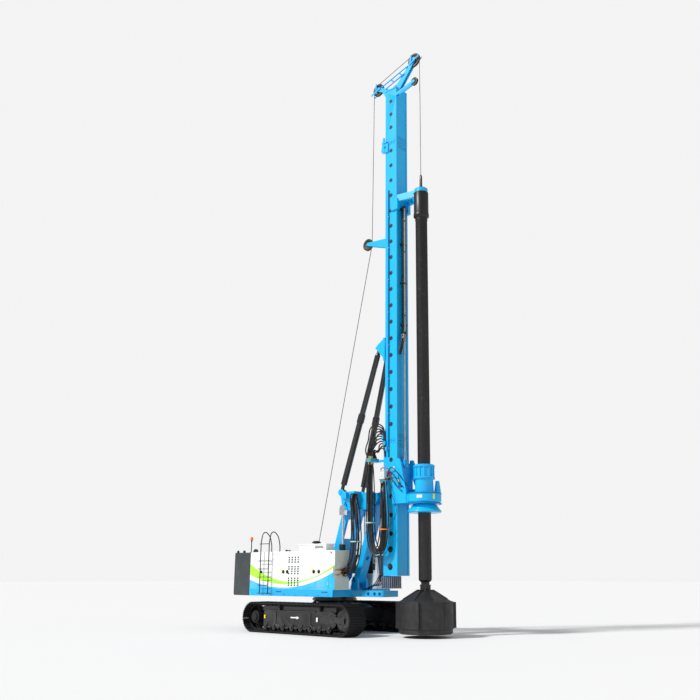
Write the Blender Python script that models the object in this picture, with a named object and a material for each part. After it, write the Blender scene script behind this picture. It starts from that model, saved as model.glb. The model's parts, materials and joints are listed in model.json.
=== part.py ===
"""Rotary piling rig: tracked base, slewing deck, linkage, leader mast, rotary drive, kelly bar, bucket.

Metres, +Z up, +X to the front of the machine, +Y to its left. Every size below is measured from the
slewing axis at ground level; the whole machine hangs from one empty that centres its plan on the origin.
"""

import math

import bmesh
import bpy
from mathutils import Matrix, Vector

# ---------------------------------------------------------------- driving dimensions (metres)
SEAT = 0.0003            # gap between two pieces that rest on each other
PIN_GAP = 0.0005         # side play between a lug and its ear
RUN_GAP = 0.008          # clearance of the open pivots of the cylinders
SIDES = 20               # facets of a round piece
SMALL_SIDES = 14         # facets of a small round piece

# crawlers
TRACK_LENGTH = 5.60
TRACK_HEIGHT = 1.08
SHOE_WIDTH = 0.80
CRAWLER_WIDTH = 4.20
SHOE_BAND = 0.11
GROUSER_HEIGHT = 0.03
SHOE_COUNT = 50
FRAME_WIDTH = 0.38
ROLLER_RADIUS = 0.10
IDLER_RADIUS = 0.34
SPROCKET_RADIUS = 0.37
SPROCKET_TEETH = 16
SLIDE_BEAM = 0.36
SLIDE_BEAM_X = 0.92
SLIDE_BEAM_INNER_END = 0.50

# carbody and slew ring
CARBODY_HALF_WIDTH = 0.83
CARBODY_HALF_LENGTH = 1.20
CARBODY_BOTTOM = 0.38
CARBODY_TOP = 1.02
RING_RADIUS = 0.80
DECK_BOTTOM = 1.285

# deck
DECK_TOP = 1.53
DECK_FRONT = 1.42
DECK_REAR = -3.11
HALF_WIDTH = 1.55
NOSE_FRONT = 2.80
NOSE_HALF_WIDTH = 0.45
NOSE_TOP = 1.50

# counterweight and housings
COUNTERWEIGHT_LENGTH = 1.13
ROOF = 2.90
EXHAUST = (-0.16, -0.86)
EXHAUST_TOP = 3.28
BEACON = (-3.40, -1.30)
BEACON_TOP = 3.51
WALL = 0.05
BAY_HALF_WIDTH = 0.80
HOOD_FRONT = -1.55
LEFT_HOUSING_FRONT = -0.62
DOOR_PAIRS = ((-1.77, -1.055, -0.34), (-0.22, 0.56, 1.17))
DOOR_BOTTOM = 1.60
DOOR_TOP = 2.80
DOOR_GAP = 0.006
FRONT_BOX = 0.08

# cab
CAB_REAR = -0.55
CAB_FRONT = 1.46
CAB_RIGHT = 0.82
CAB_ROOF = 3.02
CAB_WALL = 0.05
GLASS = 0.012

# main winch
WINCH_X = -1.02
WINCH_Z = 2.20
DRUM_RADIUS = 0.30
DRUM_FLANGE = 0.42
DRUM_HALF_LENGTH = 0.42

# linkage pivots, side view (x, z)
LINK = (0.92, 2.70)
BOOM_FOOT = (0.07, 1.86)
STRUT_FOOT = (1.27, 1.86)
BOOM_HALF_WIDTH = 0.44
STRUT_HALF_WIDTH = 0.19
PLATE = 0.06
KNUCKLE = (0.84, 5.05)
MAST_PIVOT = (2.50, 4.80)
LUFF_FOOT = (0.96, 1.76)
LUFF_EYE = (0.96, 4.42)
LUFF_Y = 0.61
LUFF_BARREL_RADIUS = 0.11
LUFF_ROD_RADIUS = 0.045
LUFF_GLAND_TOP = 3.13

# mast cylinders
MAST_EYE = (2.46, 10.45)
MAST_CYL_FOOT_Y = 0.565
MAST_CYL_TOP_Y = 0.27
MAST_BARREL_RADIUS = 0.115
MAST_ROD_RADIUS = 0.085
MAST_BARREL_SHARE = 0.53

# mast
MAST_FRONT = 3.367
MAST_DEPTH = 0.56
MAST_FOOT_DEPTH = 0.63
MAST_WIDTH = 0.677
MAST_WALL = 0.03
MAST_BOTTOM = 2.01
DEEP_TOP = 6.80
TOP_JOINT = 19.00
MAST_TOP = 21.46
RAIL = 0.02
RAIL_WIDTH = 0.08
FLANGE = 0.05

# mast head and rope sheaves
TOP_SHEAVE = (4.075, 0.0, 22.57)
TOP_SHEAVE_RADIUS = 0.30
REAR_SHEAVE = (2.13, 0.0, 22.00)
REAR_SHEAVE_RADIUS = 0.28
AUX_SHEAVE = (4.30, -0.27, 21.34)
AUX_SHEAVE_RADIUS = 0.17
GUIDE_PULLEY = (1.77, -0.20, 14.94)
GUIDE_PULLEY_RADIUS = 0.25
SHEAVE_WIDTH = 0.09
SHEAVE_AXLE = 0.035

# crowd cylinder
CROWD_X = 3.475
CROWD_RADIUS = 0.085
CROWD_ROD_RADIUS = 0.038
CROWD_TOP = 16.17
CROWD_BOTTOM = 10.82
CROWD_ROD_TOP = 12.40

# rotary drive
KELLY_X = 4.36
CARRIAGE_TOP = 6.11
CARRIAGE_BOTTOM = 4.50
CARRIAGE_HALF_WIDTH = 0.42
GEARBOX_TOP = 4.84
GEARBOX_BOTTOM = 4.44
GEARBOX_RADIUS = 0.60
GEARBOX_SEAT_X = 3.86
GEARBOX_BORE = 0.30
SLEEVE_TUBE = 0.295
SLEEVE_BORE = 0.236
COLLAR_RADIUS = 0.36
COLLAR_TOP = 5.83
CONE_TOP = 5.33
OUTPUT_RADIUS = 0.60
OUTPUT_BOTTOM = 4.15

# kelly bar and guide
KELLY_RADIUS = 0.228
KELLY_BOTTOM = 1.81
KELLY_HEAD_RADIUS = 0.285
KELLY_HEAD_BOTTOM = 15.55
KELLY_HEAD_TOP = 16.45
NECK_RADIUS = 0.10
GUIDE_RING_TOP = 16.62
SWIVEL_TOP = 17.25
STUB = 0.21

# bucket
BUCKET_RADIUS = 0.95
BUCKET_WALL = 0.03
BUCKET_TOP = 1.17
BUCKET_SHELL_BOTTOM = 0.295
BUCKET_BOTTOM = 0.10
CONE_BASE_RADIUS = 0.88
CONE_TIP_RADIUS = 0.33
CONE_TIP = 1.50
HUB_TOP = 1.56
RIB_REACH = 0.09
RIB_ANGLES = (42.0, -67.0, -125.0, 100.0)

# hose ends
BULKHEAD_Z = 4.94
CLAMP_Z = 6.06
TRAY_Z = 5.30

# worked out from the dimensions above
COUNTERWEIGHT_REAR = DECK_REAR - COUNTERWEIGHT_LENGTH
BUCKET_FRONT = KELLY_X + BUCKET_RADIUS
PLAN_SHIFT = -(COUNTERWEIGHT_REAR + BUCKET_FRONT) / 2
TRACK_Y = (CRAWLER_WIDTH - SHOE_WIDTH) / 2
WHEEL_X = (TRACK_LENGTH - TRACK_HEIGHT) / 2
BOOM_HEAD = (BOOM_FOOT[0] + LINK[0], BOOM_FOOT[1] + LINK[1])
STRUT_HEAD = (STRUT_FOOT[0] + LINK[0], STRUT_FOOT[1] + LINK[1])
HALF_MAST = MAST_WIDTH / 2
MAST_REAR = MAST_FRONT - MAST_DEPTH
FOOT_REAR = MAST_FRONT - MAST_FOOT_DEPTH
PLATE_IN = BOOM_HALF_WIDTH + PIN_GAP
PLATE_OUT = PLATE_IN + PLATE

FINISHES = {
    "blue": ((0.0, 0.50, 0.90), 0.35, 0.0),
    "white": ((0.86, 0.88, 0.87), 0.35, 0.0),
    "slate": ((0.03, 0.045, 0.055), 0.45, 0.0),
    "black": ((0.012, 0.012, 0.013), 0.5, 0.0),
    "charcoal": ((0.03, 0.03, 0.032), 0.55, 0.3),
    "chrome": ((0.75, 0.76, 0.78), 0.12, 1.0),
    "steel": ((0.30, 0.30, 0.31), 0.4, 0.9),
    "glass": ((0.04, 0.06, 0.07), 0.05, 0.0),
    "seat": ((0.03, 0.03, 0.035), 0.8, 0.0),
    "rubber": ((0.015, 0.015, 0.016), 0.7, 0.0),
}


# ---------------------------------------------------------------- modelling helpers
def clear_scene():
    for item in list(bpy.data.objects):
        bpy.data.objects.remove(item, do_unlink=True)


def finish(name):
    material = bpy.data.materials.get(name)
    if material is None:
        color, roughness, metallic = FINISHES[name]
        material = bpy.data.materials.new(name)
        material.use_nodes = True
        shader = material.node_tree.nodes["Principled BSDF"]
        shader.inputs["Base Color"].default_value = (*color, 1.0)
        shader.inputs["Roughness"].default_value = roughness
        shader.inputs["Metallic"].default_value = metallic
    return material


def raw(bm, name="piece"):
    """Turn a bmesh into a linked object, with its faces pointing out."""
    bmesh.ops.recalc_face_normals(bm, faces=bm.faces[:])
    mesh = bpy.data.meshes.new(name)
    bm.to_mesh(mesh)
    bm.free()
    piece = bpy.data.objects.new(name, mesh)
    bpy.context.scene.collection.objects.link(piece)
    return piece


def box(x0, x1, y0, y1, z0, z1):
    """Box between two corners, given in any order."""
    low = Vector((min(x0, x1), min(y0, y1), min(z0, z1)))
    high = Vector((max(x0, x1), max(y0, y1), max(z0, z1)))
    bm = bmesh.new()
    bmesh.ops.create_cube(bm, size=1.0)
    bmesh.ops.scale(bm, vec=high - low, verts=bm.verts[:])
    bmesh.ops.translate(bm, vec=(low + high) / 2, verts=bm.verts[:])
    return raw(bm)


def prism(outline, low, high, axis="y"):
    """Extrude an outline: (x, z) points along y, or (x, y) points along z, or (y, z) points along x."""
    place = {"y": lambda a, b, c: (a, c, b), "z": lambda a, b, c: (a, b, c), "x": lambda a, b, c: (c, a, b)}[axis]
    bm = bmesh.new()
    face = bm.faces.new([bm.verts.new(place(a, b, min(low, high))) for a, b in outline])
    made = bmesh.ops.extrude_face_region(bm, geom=[face])
    moved = [item for item in made["geom"] if isinstance(item, bmesh.types.BMVert)]
    bmesh.ops.translate(bm, vec=Vector(place(0, 0, abs(high - low))), verts=moved)
    return raw(bm)


def lathe(profile, center=(0.0, 0.0), sides=SIDES):
    """Turn (radius, z) points about a vertical line; a radius of 0 closes the end."""
    bm = bmesh.new()
    verts = [bm.verts.new((r, 0, z)) for r, z in profile]
    edges = [bm.edges.new(pair) for pair in zip(verts, verts[1:])]
    if profile[0][0] > 0 or profile[-1][0] > 0:
        edges.append(bm.edges.new((verts[-1], verts[0])))
    bmesh.ops.spin(bm, geom=verts + edges, axis=(0, 0, 1), cent=(0, 0, 0), steps=sides,
                   angle=2 * math.pi, use_merge=True, use_duplicate=False)
    bmesh.ops.remove_doubles(bm, verts=bm.verts[:], dist=0.00001)
    bmesh.ops.translate(bm, vec=(center[0], center[1], 0), verts=bm.verts[:])
    return raw(bm)


def bar(start, end, radius, sides=SMALL_SIDES, tip=None):
    """Round bar between two points; tip is its radius at the end."""
    start, end = Vector(start), Vector(end)
    bm = bmesh.new()
    bmesh.ops.create_cone(bm, cap_ends=True, segments=sides, radius1=radius,
                          radius2=radius if tip is None else tip, depth=(end - start).length)
    turn = (end - start).to_track_quat("Z", "Y").to_matrix().to_4x4()
    bmesh.ops.transform(bm, matrix=Matrix.Translation((start + end) / 2) @ turn, verts=bm.verts[:])
    return raw(bm)


def ybar(x, z, y0, y1, radius, sides=SMALL_SIDES):
    """Round bar along Y."""
    return bar((x, y0, z), (x, y1, z), radius, sides)


def capsule(start, end, radius, y0, y1, steps=6):
    """Link plate seen from the side: two round ends joined by a straight body."""
    (ax, az), (bx, bz) = start, end
    heading = math.atan2(bz - az, bx - ax)
    outline = []
    for (cx, cz), first in (((bx, bz), heading - math.pi / 2), ((ax, az), heading + math.pi / 2)):
        for step in range(steps + 1):
            angle = first + math.pi * step / steps
            outline.append((cx + radius * math.cos(angle), cz + radius * math.sin(angle)))
    return prism(outline, y0, y1)


def boolean(base, tools, operation):
    """Unite or cut a piece with others by one exact Boolean, which uses the others up."""
    tools = [tool for tool in tools if tool is not None]
    if not tools:
        return base
    group = bpy.data.collections.new("tools")
    bpy.context.scene.collection.children.link(group)
    for tool in tools:
        group.objects.link(tool)
    modifier = base.modifiers.new("join", "BOOLEAN")
    modifier.operation = operation
    modifier.solver = "EXACT"
    modifier.operand_type = "COLLECTION"
    modifier.collection = group
    evaluated = base.evaluated_get(bpy.context.evaluated_depsgraph_get())
    mesh = bpy.data.meshes.new_from_object(evaluated)
    base.modifiers.clear()
    base.data = mesh
    for tool in tools:
        bpy.data.objects.remove(tool, do_unlink=True)
    bpy.data.collections.remove(group)
    return base


def join(base, *parts):
    return boolean(base, parts, "UNION")


def cut(base, *tools):
    return boolean(base, tools, "DIFFERENCE")


def copies(piece, count):
    """A piece and its copies, count in all."""
    made = [piece]
    for _ in range(count - 1):
        twin = piece.copy()
        twin.data = piece.data.copy()
        bpy.context.scene.collection.objects.link(twin)
        made.append(twin)
    return made


class Body:
    """A rigid body: an empty on its joint, which carries the nodes that move together."""

    def __init__(self, name, parent=None, pivot=(0.0, 0.0, 0.0)):
        self.pivot = Vector(pivot)
        self.empty = bpy.data.objects.new("body_" + name, None)
        bpy.context.scene.collection.objects.link(self.empty)
        if parent is None:
            self.empty.location = Vector((PLAN_SHIFT, 0, 0)) + self.pivot
        else:
            self.empty.parent = parent.empty
            self.empty.location = self.pivot - parent.pivot

    def add(self, name, piece, material):
        """Name a finished piece, move its origin to this body's joint and hang it there."""
        piece.name = name
        piece.data.name = name
        piece.data.transform(Matrix.Translation(-self.pivot))
        piece.data.materials.clear()
        piece.data.materials.append(finish(material))
        for polygon in piece.data.polygons:
            polygon.material_index = 0
        piece.data.shade_smooth()
        piece.data.set_sharp_from_angle(angle=math.radians(35))
        piece.parent = self.empty
        return piece


# ---------------------------------------------------------------- undercarriage
def stadium(radius, half_span, steps=10):
    """Side outline of a track band about the line between its two wheels, as (x, z) points."""
    middle = TRACK_HEIGHT / 2
    outline = []
    for side, first in ((1, -math.pi / 2), (-1, math.pi / 2)):
        for step in range(steps + 1):
            angle = first + math.pi * step / steps
            outline.append((side * half_span + radius * math.cos(angle), middle + radius * math.sin(angle)))
    return outline


def track_outline():
    """Outline of the shoes: the band with a grouser on each shoe, worked out along its length."""
    radius = TRACK_HEIGHT / 2 - GROUSER_HEIGHT
    straight = 2 * WHEEL_X
    arc = math.pi * radius
    total = 2 * straight + 2 * arc
    middle = TRACK_HEIGHT / 2

    def at(distance, out):
        distance %= total
        reach = radius + out
        if distance < straight:
            return (-WHEEL_X + distance, middle - reach)
        distance -= straight
        if distance < arc:
            angle = -math.pi / 2 + distance / radius
            return (WHEEL_X + reach * math.cos(angle), middle + reach * math.sin(angle))
        distance -= arc
        if distance < straight:
            return (WHEEL_X - distance, middle + reach)
        angle = math.pi / 2 + (distance - straight) / radius
        return (-WHEEL_X + reach * math.cos(angle), middle + reach * math.sin(angle))

    pitch = total / SHOE_COUNT
    points = []
    for shoe in range(SHOE_COUNT):
        start = shoe * pitch
        points += [at(start + share * pitch, out) for share, out in
                   ((0.02, 0.0), (0.40, 0.0), (0.44, GROUSER_HEIGHT), (0.56, GROUSER_HEIGHT), (0.60, 0.0))]
    return points


def build_undercarriage(base):
    beam_low = (CARBODY_BOTTOM + CARBODY_TOP - SLIDE_BEAM) / 2 - 0.03
    play = 0.0008
    body = prism([(-CARBODY_HALF_LENGTH, CARBODY_BOTTOM + 0.05), (-0.5, CARBODY_BOTTOM), (0.5, CARBODY_BOTTOM),
                  (CARBODY_HALF_LENGTH, CARBODY_BOTTOM + 0.05), (CARBODY_HALF_LENGTH, 0.90), (0.85, CARBODY_TOP),
                  (-0.85, CARBODY_TOP), (-CARBODY_HALF_LENGTH, 0.90)], -CARBODY_HALF_WIDTH, CARBODY_HALF_WIDTH)
    ring = lathe([(0, CARBODY_TOP - 0.1), (RING_RADIUS - 0.12, CARBODY_TOP - 0.1), (RING_RADIUS - 0.12, 1.10),
                  (RING_RADIUS, 1.12), (RING_RADIUS, DECK_BOTTOM - SEAT), (0, DECK_BOTTOM - SEAT)], sides=32)
    body = join(body, ring)
    sockets = [box(x - SLIDE_BEAM / 2 - play, x + SLIDE_BEAM / 2 + play, -2, 2, beam_low - play,
                   beam_low + SLIDE_BEAM + play) for x in (-SLIDE_BEAM_X, SLIDE_BEAM_X)]
    base.add("carbody", cut(body, *sockets), "black")
    return beam_low


def build_crawler(body, name, side, beam_low):
    """One crawler; side is -1 on the right and 1 on the left."""
    y = side * TRACK_Y
    middle = TRACK_HEIGHT / 2
    band = prism(track_outline(), y - SHOE_WIDTH / 2, y + SHOE_WIDTH / 2)
    inner = prism(stadium(TRACK_HEIGHT / 2 - SHOE_BAND, WHEEL_X), y - SHOE_WIDTH, y + SHOE_WIDTH)
    body.add(name + "_track", cut(band, inner), "black")

    half = FRAME_WIDTH / 2
    low, high = 0.24, 0.80
    frame = prism([(-1.80, low), (1.75, low), (1.95, 0.36), (1.95, 0.70), (1.75, high), (-1.72, high), (-1.80, 0.72)],
                  y - half, y + half)
    parts = []
    rollers = 8
    roller_z = SHOE_BAND + ROLLER_RADIUS + 0.0006
    for index in range(rollers):
        x = -1.66 + 3.30 * index / (rollers - 1)
        parts.append(ybar(x, roller_z, y - 0.24, y + 0.24, ROLLER_RADIUS))
    for x in (-0.95, 1.15):
        top = TRACK_HEIGHT - SHOE_BAND - 0.0006
        parts.append(ybar(x, top - 0.085, y - 0.22, y + 0.22, 0.085))
        parts.append(box(x - 0.07, x + 0.07, y - 0.08, y + 0.08, high - 0.02, top - 0.06))
    for offset in (-0.25, 0.19):
        parts.append(box(1.85, WHEEL_X + 0.12, y + offset, y + offset + 0.06, middle - 0.10, middle + 0.10))
    parts.append(box(1.70, 1.92, y - 0.25, y + 0.25, middle - 0.12, middle + 0.12))
    parts.append(ybar(WHEEL_X, middle, y - 0.26, y + 0.26, 0.07))
    parts.append(ybar(WHEEL_X, middle, y - 0.15, y + 0.15, IDLER_RADIUS, 24))
    for x in (-SLIDE_BEAM_X, SLIDE_BEAM_X):
        parts.append(box(x - SLIDE_BEAM / 2, x + SLIDE_BEAM / 2, y - side * 0.1, side * SLIDE_BEAM_INNER_END,
                         beam_low, beam_low + SLIDE_BEAM))
    parts.append(box(-WHEEL_X, -1.70, y - side * 0.17, y - side * 0.36, middle - 0.20, middle + 0.20))
    parts.append(ybar(-WHEEL_X, middle, y - side * 0.16, y - side * 0.38, 0.24, 20))
    body.add(name + "_track_frame", join(frame, *parts), "black")

    outline = []
    for tooth in range(SPROCKET_TEETH):
        for share, radius in ((0.0, SPROCKET_RADIUS), (0.3, SPROCKET_RADIUS), (0.5, SPROCKET_RADIUS - 0.06),
                              (0.8, SPROCKET_RADIUS - 0.06)):
            angle = 2 * math.pi * (tooth + share) / SPROCKET_TEETH
            outline.append((-WHEEL_X + radius * math.cos(angle), middle + radius * math.sin(angle)))
    inner_face = y - side * (0.16 - SEAT)
    wheel = prism(outline, inner_face, inner_face + side * 0.10)
    hub = ybar(-WHEEL_X, middle, inner_face + side * 0.02, y + side * 0.22, 0.22, 20)
    cap = ybar(-WHEEL_X, middle, y + side * 0.20, y + side * 0.27, 0.13, 16)
    body.add(name + "_sprocket", join(wheel, hub, cap), "black")


# ---------------------------------------------------------------- deck and housings
def deck_ear(x, z, y0, y1, radius, foot=0.16):
    """Ear standing on the deck with its round eye at (x, z)."""
    return [box(x - foot, x + foot, y0, y1, DECK_TOP - 0.05, z), ybar(x, z, y0, y1, radius, 20)]


def build_deck(upper):
    plan = [(DECK_REAR, -HALF_WIDTH), (DECK_FRONT, -HALF_WIDTH), (DECK_FRONT, HALF_WIDTH), (DECK_REAR, HALF_WIDTH)]
    deck = prism(plan, DECK_BOTTOM, DECK_TOP, axis="z")
    nose = prism([(DECK_FRONT - 0.2, -0.62), (NOSE_FRONT - 0.9, -NOSE_HALF_WIDTH), (NOSE_FRONT - 0.06, -NOSE_HALF_WIDTH),
                  (NOSE_FRONT, -NOSE_HALF_WIDTH + 0.06), (NOSE_FRONT, NOSE_HALF_WIDTH - 0.06),
                  (NOSE_FRONT - 0.06, NOSE_HALF_WIDTH), (NOSE_FRONT - 0.9, NOSE_HALF_WIDTH), (DECK_FRONT - 0.2, 0.62)],
                 DECK_BOTTOM, NOSE_TOP, axis="z")
    parts = [nose]
    for side in (-1, 1):
        y0, y1 = side * PLATE_IN, side * (PLATE_IN + 0.07)
        parts += deck_ear(BOOM_FOOT[0], BOOM_FOOT[1], y0, y1, 0.17)
        parts.append(ybar(BOOM_FOOT[0], BOOM_FOOT[1], side * (PLATE_IN + 0.05), side * (PLATE_IN + 0.09), 0.08))
        y0, y1 = side * (STRUT_HALF_WIDTH + PIN_GAP), side * (STRUT_HALF_WIDTH + 0.08)
        parts += deck_ear(STRUT_FOOT[0], STRUT_FOOT[1], y0, y1, 0.14)
        parts.append(ybar(STRUT_FOOT[0], STRUT_FOOT[1], y1 - side * 0.02, y1 + side * 0.03, 0.07))
        for reach in (-1, 1):
            face = side * LUFF_Y + reach * (0.05 + PIN_GAP)
            parts += deck_ear(LUFF_FOOT[0], LUFF_FOOT[1], face, face + reach * 0.035, 0.10, foot=0.10)
        y0, y1 = side * (DRUM_HALF_LENGTH + PIN_GAP), side * (DRUM_HALF_LENGTH + 0.07)
        parts.append(prism([(WINCH_X - 0.38, DECK_TOP - 0.05), (WINCH_X + 0.38, DECK_TOP - 0.05),
                            (WINCH_X + 0.20, WINCH_Z + 0.10), (WINCH_X, WINCH_Z + 0.2),
                            (WINCH_X - 0.20, WINCH_Z + 0.10)], y0, y1))
    upper.add("upper_frame", join(deck, *parts), "blue")


def build_counterweight(upper):
    inset, corner = 0.05, 0.16
    rear, front = COUNTERWEIGHT_REAR, DECK_REAR - SEAT
    low = prism([(front, -HALF_WIDTH), (front, HALF_WIDTH), (rear + corner, HALF_WIDTH), (rear, HALF_WIDTH - corner),
                 (rear, -HALF_WIDTH + corner), (rear + corner, -HALF_WIDTH)], DECK_BOTTOM, ROOF, axis="z")
    notch = prism([(rear - 0.1, DECK_BOTTOM - 0.1), (rear + 0.30, DECK_BOTTOM - 0.1), (rear - 0.1, DECK_BOTTOM + inset * 6)],
                  -2, 2)
    upper.add("counterweight", cut(low, notch), "slate")


def hollow_box(x0, x1, y0, y1, z0, z1, wall, floor=False):
    """Box with walls and a roof, open underneath unless it has a floor."""
    shell = box(x0, x1, y0, y1, z0, z1)
    core = box(x0 + wall, x1 - wall, y0 + wall, y1 - wall, z0 + wall if floor else z0 - 0.1, z1 - wall)
    return cut(shell, core)


def build_housings(upper):
    z0 = DECK_TOP + SEAT
    right = hollow_box(DECK_REAR, DECK_FRONT, -HALF_WIDTH, -BAY_HALF_WIDTH, z0, ROOF, WALL)
    fronts = [box(DECK_FRONT - 0.03, DECK_FRONT + FRONT_BOX, -HALF_WIDTH + 0.004, -BAY_HALF_WIDTH - 0.004, 2.34, ROOF - 0.004),
              box(DECK_FRONT - 0.03, DECK_FRONT + FRONT_BOX, -HALF_WIDTH + 0.004, -BAY_HALF_WIDTH - 0.004, z0, 1.94)]
    roof_box = box(-0.56, 0.85, -1.35, -0.95, ROOF - 0.02, ROOF + 0.24)
    right = join(right, *fronts, roof_box)
    cuts = [box(pair[0], pair[2], -HALF_WIDTH - 0.1, -HALF_WIDTH + WALL + 0.01, DOOR_BOTTOM, DOOR_TOP)
            for pair in DOOR_PAIRS]
    upper.add("right_housing", cut(right, *cuts), "white")

    plan = [(DECK_REAR, -BAY_HALF_WIDTH + 0.001), (HOOD_FRONT, -BAY_HALF_WIDTH + 0.001), (HOOD_FRONT, BAY_HALF_WIDTH),
            (LEFT_HOUSING_FRONT, BAY_HALF_WIDTH), (LEFT_HOUSING_FRONT, HALF_WIDTH), (DECK_REAR, HALF_WIDTH)]
    core = [(DECK_REAR + WALL, -BAY_HALF_WIDTH + WALL), (HOOD_FRONT - WALL, -BAY_HALF_WIDTH + WALL),
            (HOOD_FRONT - WALL, BAY_HALF_WIDTH + WALL), (LEFT_HOUSING_FRONT - WALL, BAY_HALF_WIDTH + WALL),
            (LEFT_HOUSING_FRONT - WALL, HALF_WIDTH - WALL), (DECK_REAR + WALL, HALF_WIDTH - WALL)]
    rear = cut(prism(plan, z0, ROOF, axis="z"), prism(core, z0 - 0.1, ROOF - WALL, axis="z"))
    upper.add("rear_housing", rear, "white")
    upper.add("engine", box(-2.90, -1.80, -0.45, 0.45, z0, 2.50), "black")


def build_doors(make_body):
    """Four side doors in two pairs; each is hinged away from its partner."""
    leaves = [edges for rear, middle, front in DOOR_PAIRS for edges in ((rear, middle), (middle, front))]
    for index, (a, b) in enumerate(leaves):
        hinge_x = a + DOOR_GAP / 2 if index % 2 == 0 else b - DOOR_GAP / 2
        body = make_body("side_door_%d" % (index + 1), (hinge_x, -HALF_WIDTH, (DOOR_BOTTOM + DOOR_TOP) / 2))
        panel = box(a + DOOR_GAP / 2, b - DOOR_GAP / 2, -HALF_WIDTH, -HALF_WIDTH + WALL,
                    DOOR_BOTTOM + SEAT * 2, DOOR_TOP - DOOR_GAP)
        body.add("side_door_%d" % (index + 1), panel, "white")


# ---------------------------------------------------------------- cab
def cab_outline(inset):
    front, roof, rear = CAB_FRONT, CAB_ROOF, CAB_REAR
    floor = DECK_TOP + SEAT
    return [(rear + inset, floor + inset), (front - 0.06 - inset, floor + inset), (front - inset, floor + 0.45),
            (front - 0.14 - inset, roof - 0.22), (front - 0.34 - inset, roof - inset), (rear + inset, roof - inset)]


def build_cab(upper, make_body):
    shell = prism(cab_outline(0.0), CAB_RIGHT, HALF_WIDTH)
    room = prism(cab_outline(CAB_WALL), CAB_RIGHT + CAB_WALL, HALF_WIDTH - CAB_WALL)
    front = box(CAB_FRONT - 0.45, CAB_FRONT + 0.2, CAB_RIGHT + 0.09, HALF_WIDTH - 0.09, 1.80, 2.76)
    right = prism([(0.42, 2.10), (1.20, 2.10), (1.16, 2.80), (0.42, 2.80)], CAB_RIGHT - 0.1, CAB_RIGHT + CAB_WALL + 0.02)
    right_rear = box(-0.35, 0.32, CAB_RIGHT - 0.1, CAB_RIGHT + CAB_WALL + 0.02, 2.10, 2.80)
    rear = box(CAB_REAR - 0.1, CAB_REAR + CAB_WALL + 0.02, CAB_RIGHT + 0.12, HALF_WIDTH - 0.12, 2.20, 2.80)
    door_low, door_high, door_rear, door_front = 1.60, 2.86, 0.12, 1.18
    door_cut = box(door_rear, door_front, HALF_WIDTH - CAB_WALL - 0.02, HALF_WIDTH + 0.1, door_low, door_high)
    left_rear = box(-0.42, 0.02, HALF_WIDTH - CAB_WALL - 0.02, HALF_WIDTH + 0.1, 2.20, 2.80)
    roof_window = box(0.35, 0.95, CAB_RIGHT + 0.15, HALF_WIDTH - 0.15, CAB_ROOF - CAB_WALL - 0.02, CAB_ROOF + 0.1)
    upper.add("cab", cut(shell, room, front, right, right_rear, rear, door_cut, left_rear, roof_window), "white")

    outline = cab_outline(0.0)
    (low_x, low_z), (mid_x, mid_z), (high_x, high_z) = outline[1:4]
    pane_low, pane_high = 1.80 + SEAT, 2.76 - SEAT
    face = [(low_x + (mid_x - low_x) * (pane_low - low_z) / (mid_z - low_z), pane_low), (mid_x, mid_z),
            (mid_x + (high_x - mid_x) * (pane_high - mid_z) / (high_z - mid_z), pane_high)]
    pane = prism([(x - 0.018, z) for x, z in face] + [(x - 0.018 - GLASS, z) for x, z in reversed(face)],
                 CAB_RIGHT + 0.09 + SEAT, HALF_WIDTH - 0.09 - SEAT)
    upper.add("cab_front_glass", pane, "glass")

    seat = box(0.02, 0.52, 0.98, 1.42, DECK_TOP + CAB_WALL + 2 * SEAT, 1.98)
    back = prism([(-0.02, 1.90), (0.14, 1.90), (0.02, 2.62), (-0.12, 2.62)], 0.99, 1.41)
    arms = [box(0.10, 0.62, y, y + 0.09, 1.90, 2.16) for y in (0.93, 1.375)]
    upper.add("operator_seat", join(seat, back, *arms), "seat")

    hinge = (door_rear + 0.003, HALF_WIDTH, (door_low + door_high) / 2)
    door = make_body("cab_door", hinge)
    panel = box(door_rear + 0.003, door_front - 0.006, HALF_WIDTH - CAB_WALL, HALF_WIDTH, door_low + 2 * SEAT,
                door_high - 0.006)
    window = (0.22, 1.08, 2.00, 2.76)
    hole = box(window[0], window[1], HALF_WIDTH - 0.2, HALF_WIDTH + 0.1, window[2], window[3])
    door.add("cab_door", cut(panel, hole), "white")
    glass = box(window[0] + SEAT, window[1] - SEAT, HALF_WIDTH - 0.03 - GLASS, HALF_WIDTH - 0.03, window[2] + SEAT,
                window[3] - SEAT)
    door.add("cab_door_glass", glass, "glass")


def build_ladder(upper):
    """Access ladder on the right side, with grab hoops over the roof edge."""
    x0, x1 = -2.52, -1.90
    face = -HALF_WIDTH - 0.12
    thick = 0.035
    hoop_top, hoop_back = 3.66, -1.12
    parts = []
    for x in (x0, x1):
        parts.append(box(x, x + thick, face - thick, face, 1.34, hoop_top))
        parts.append(box(x, x + thick, face - thick, hoop_back, hoop_top - thick, hoop_top))
        parts.append(box(x, x + thick, hoop_back - thick, hoop_back, ROOF + SEAT, hoop_top))
        for z in (1.66, 2.70):
            parts.append(box(x, x + thick, face - 0.01, -HALF_WIDTH - SEAT, z, z + thick))
    for rung in range(5):
        z = 1.36 + 0.297 * rung
        parts.append(box(x0, x1 + thick, face - 0.03, face - 0.005, z, z + 0.025))
    parts.append(box(x0, x1 + thick, face - 0.03, face - 0.005, 3.25, 3.28))
    upper.add("boarding_ladder", join(*parts), "black")


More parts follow.
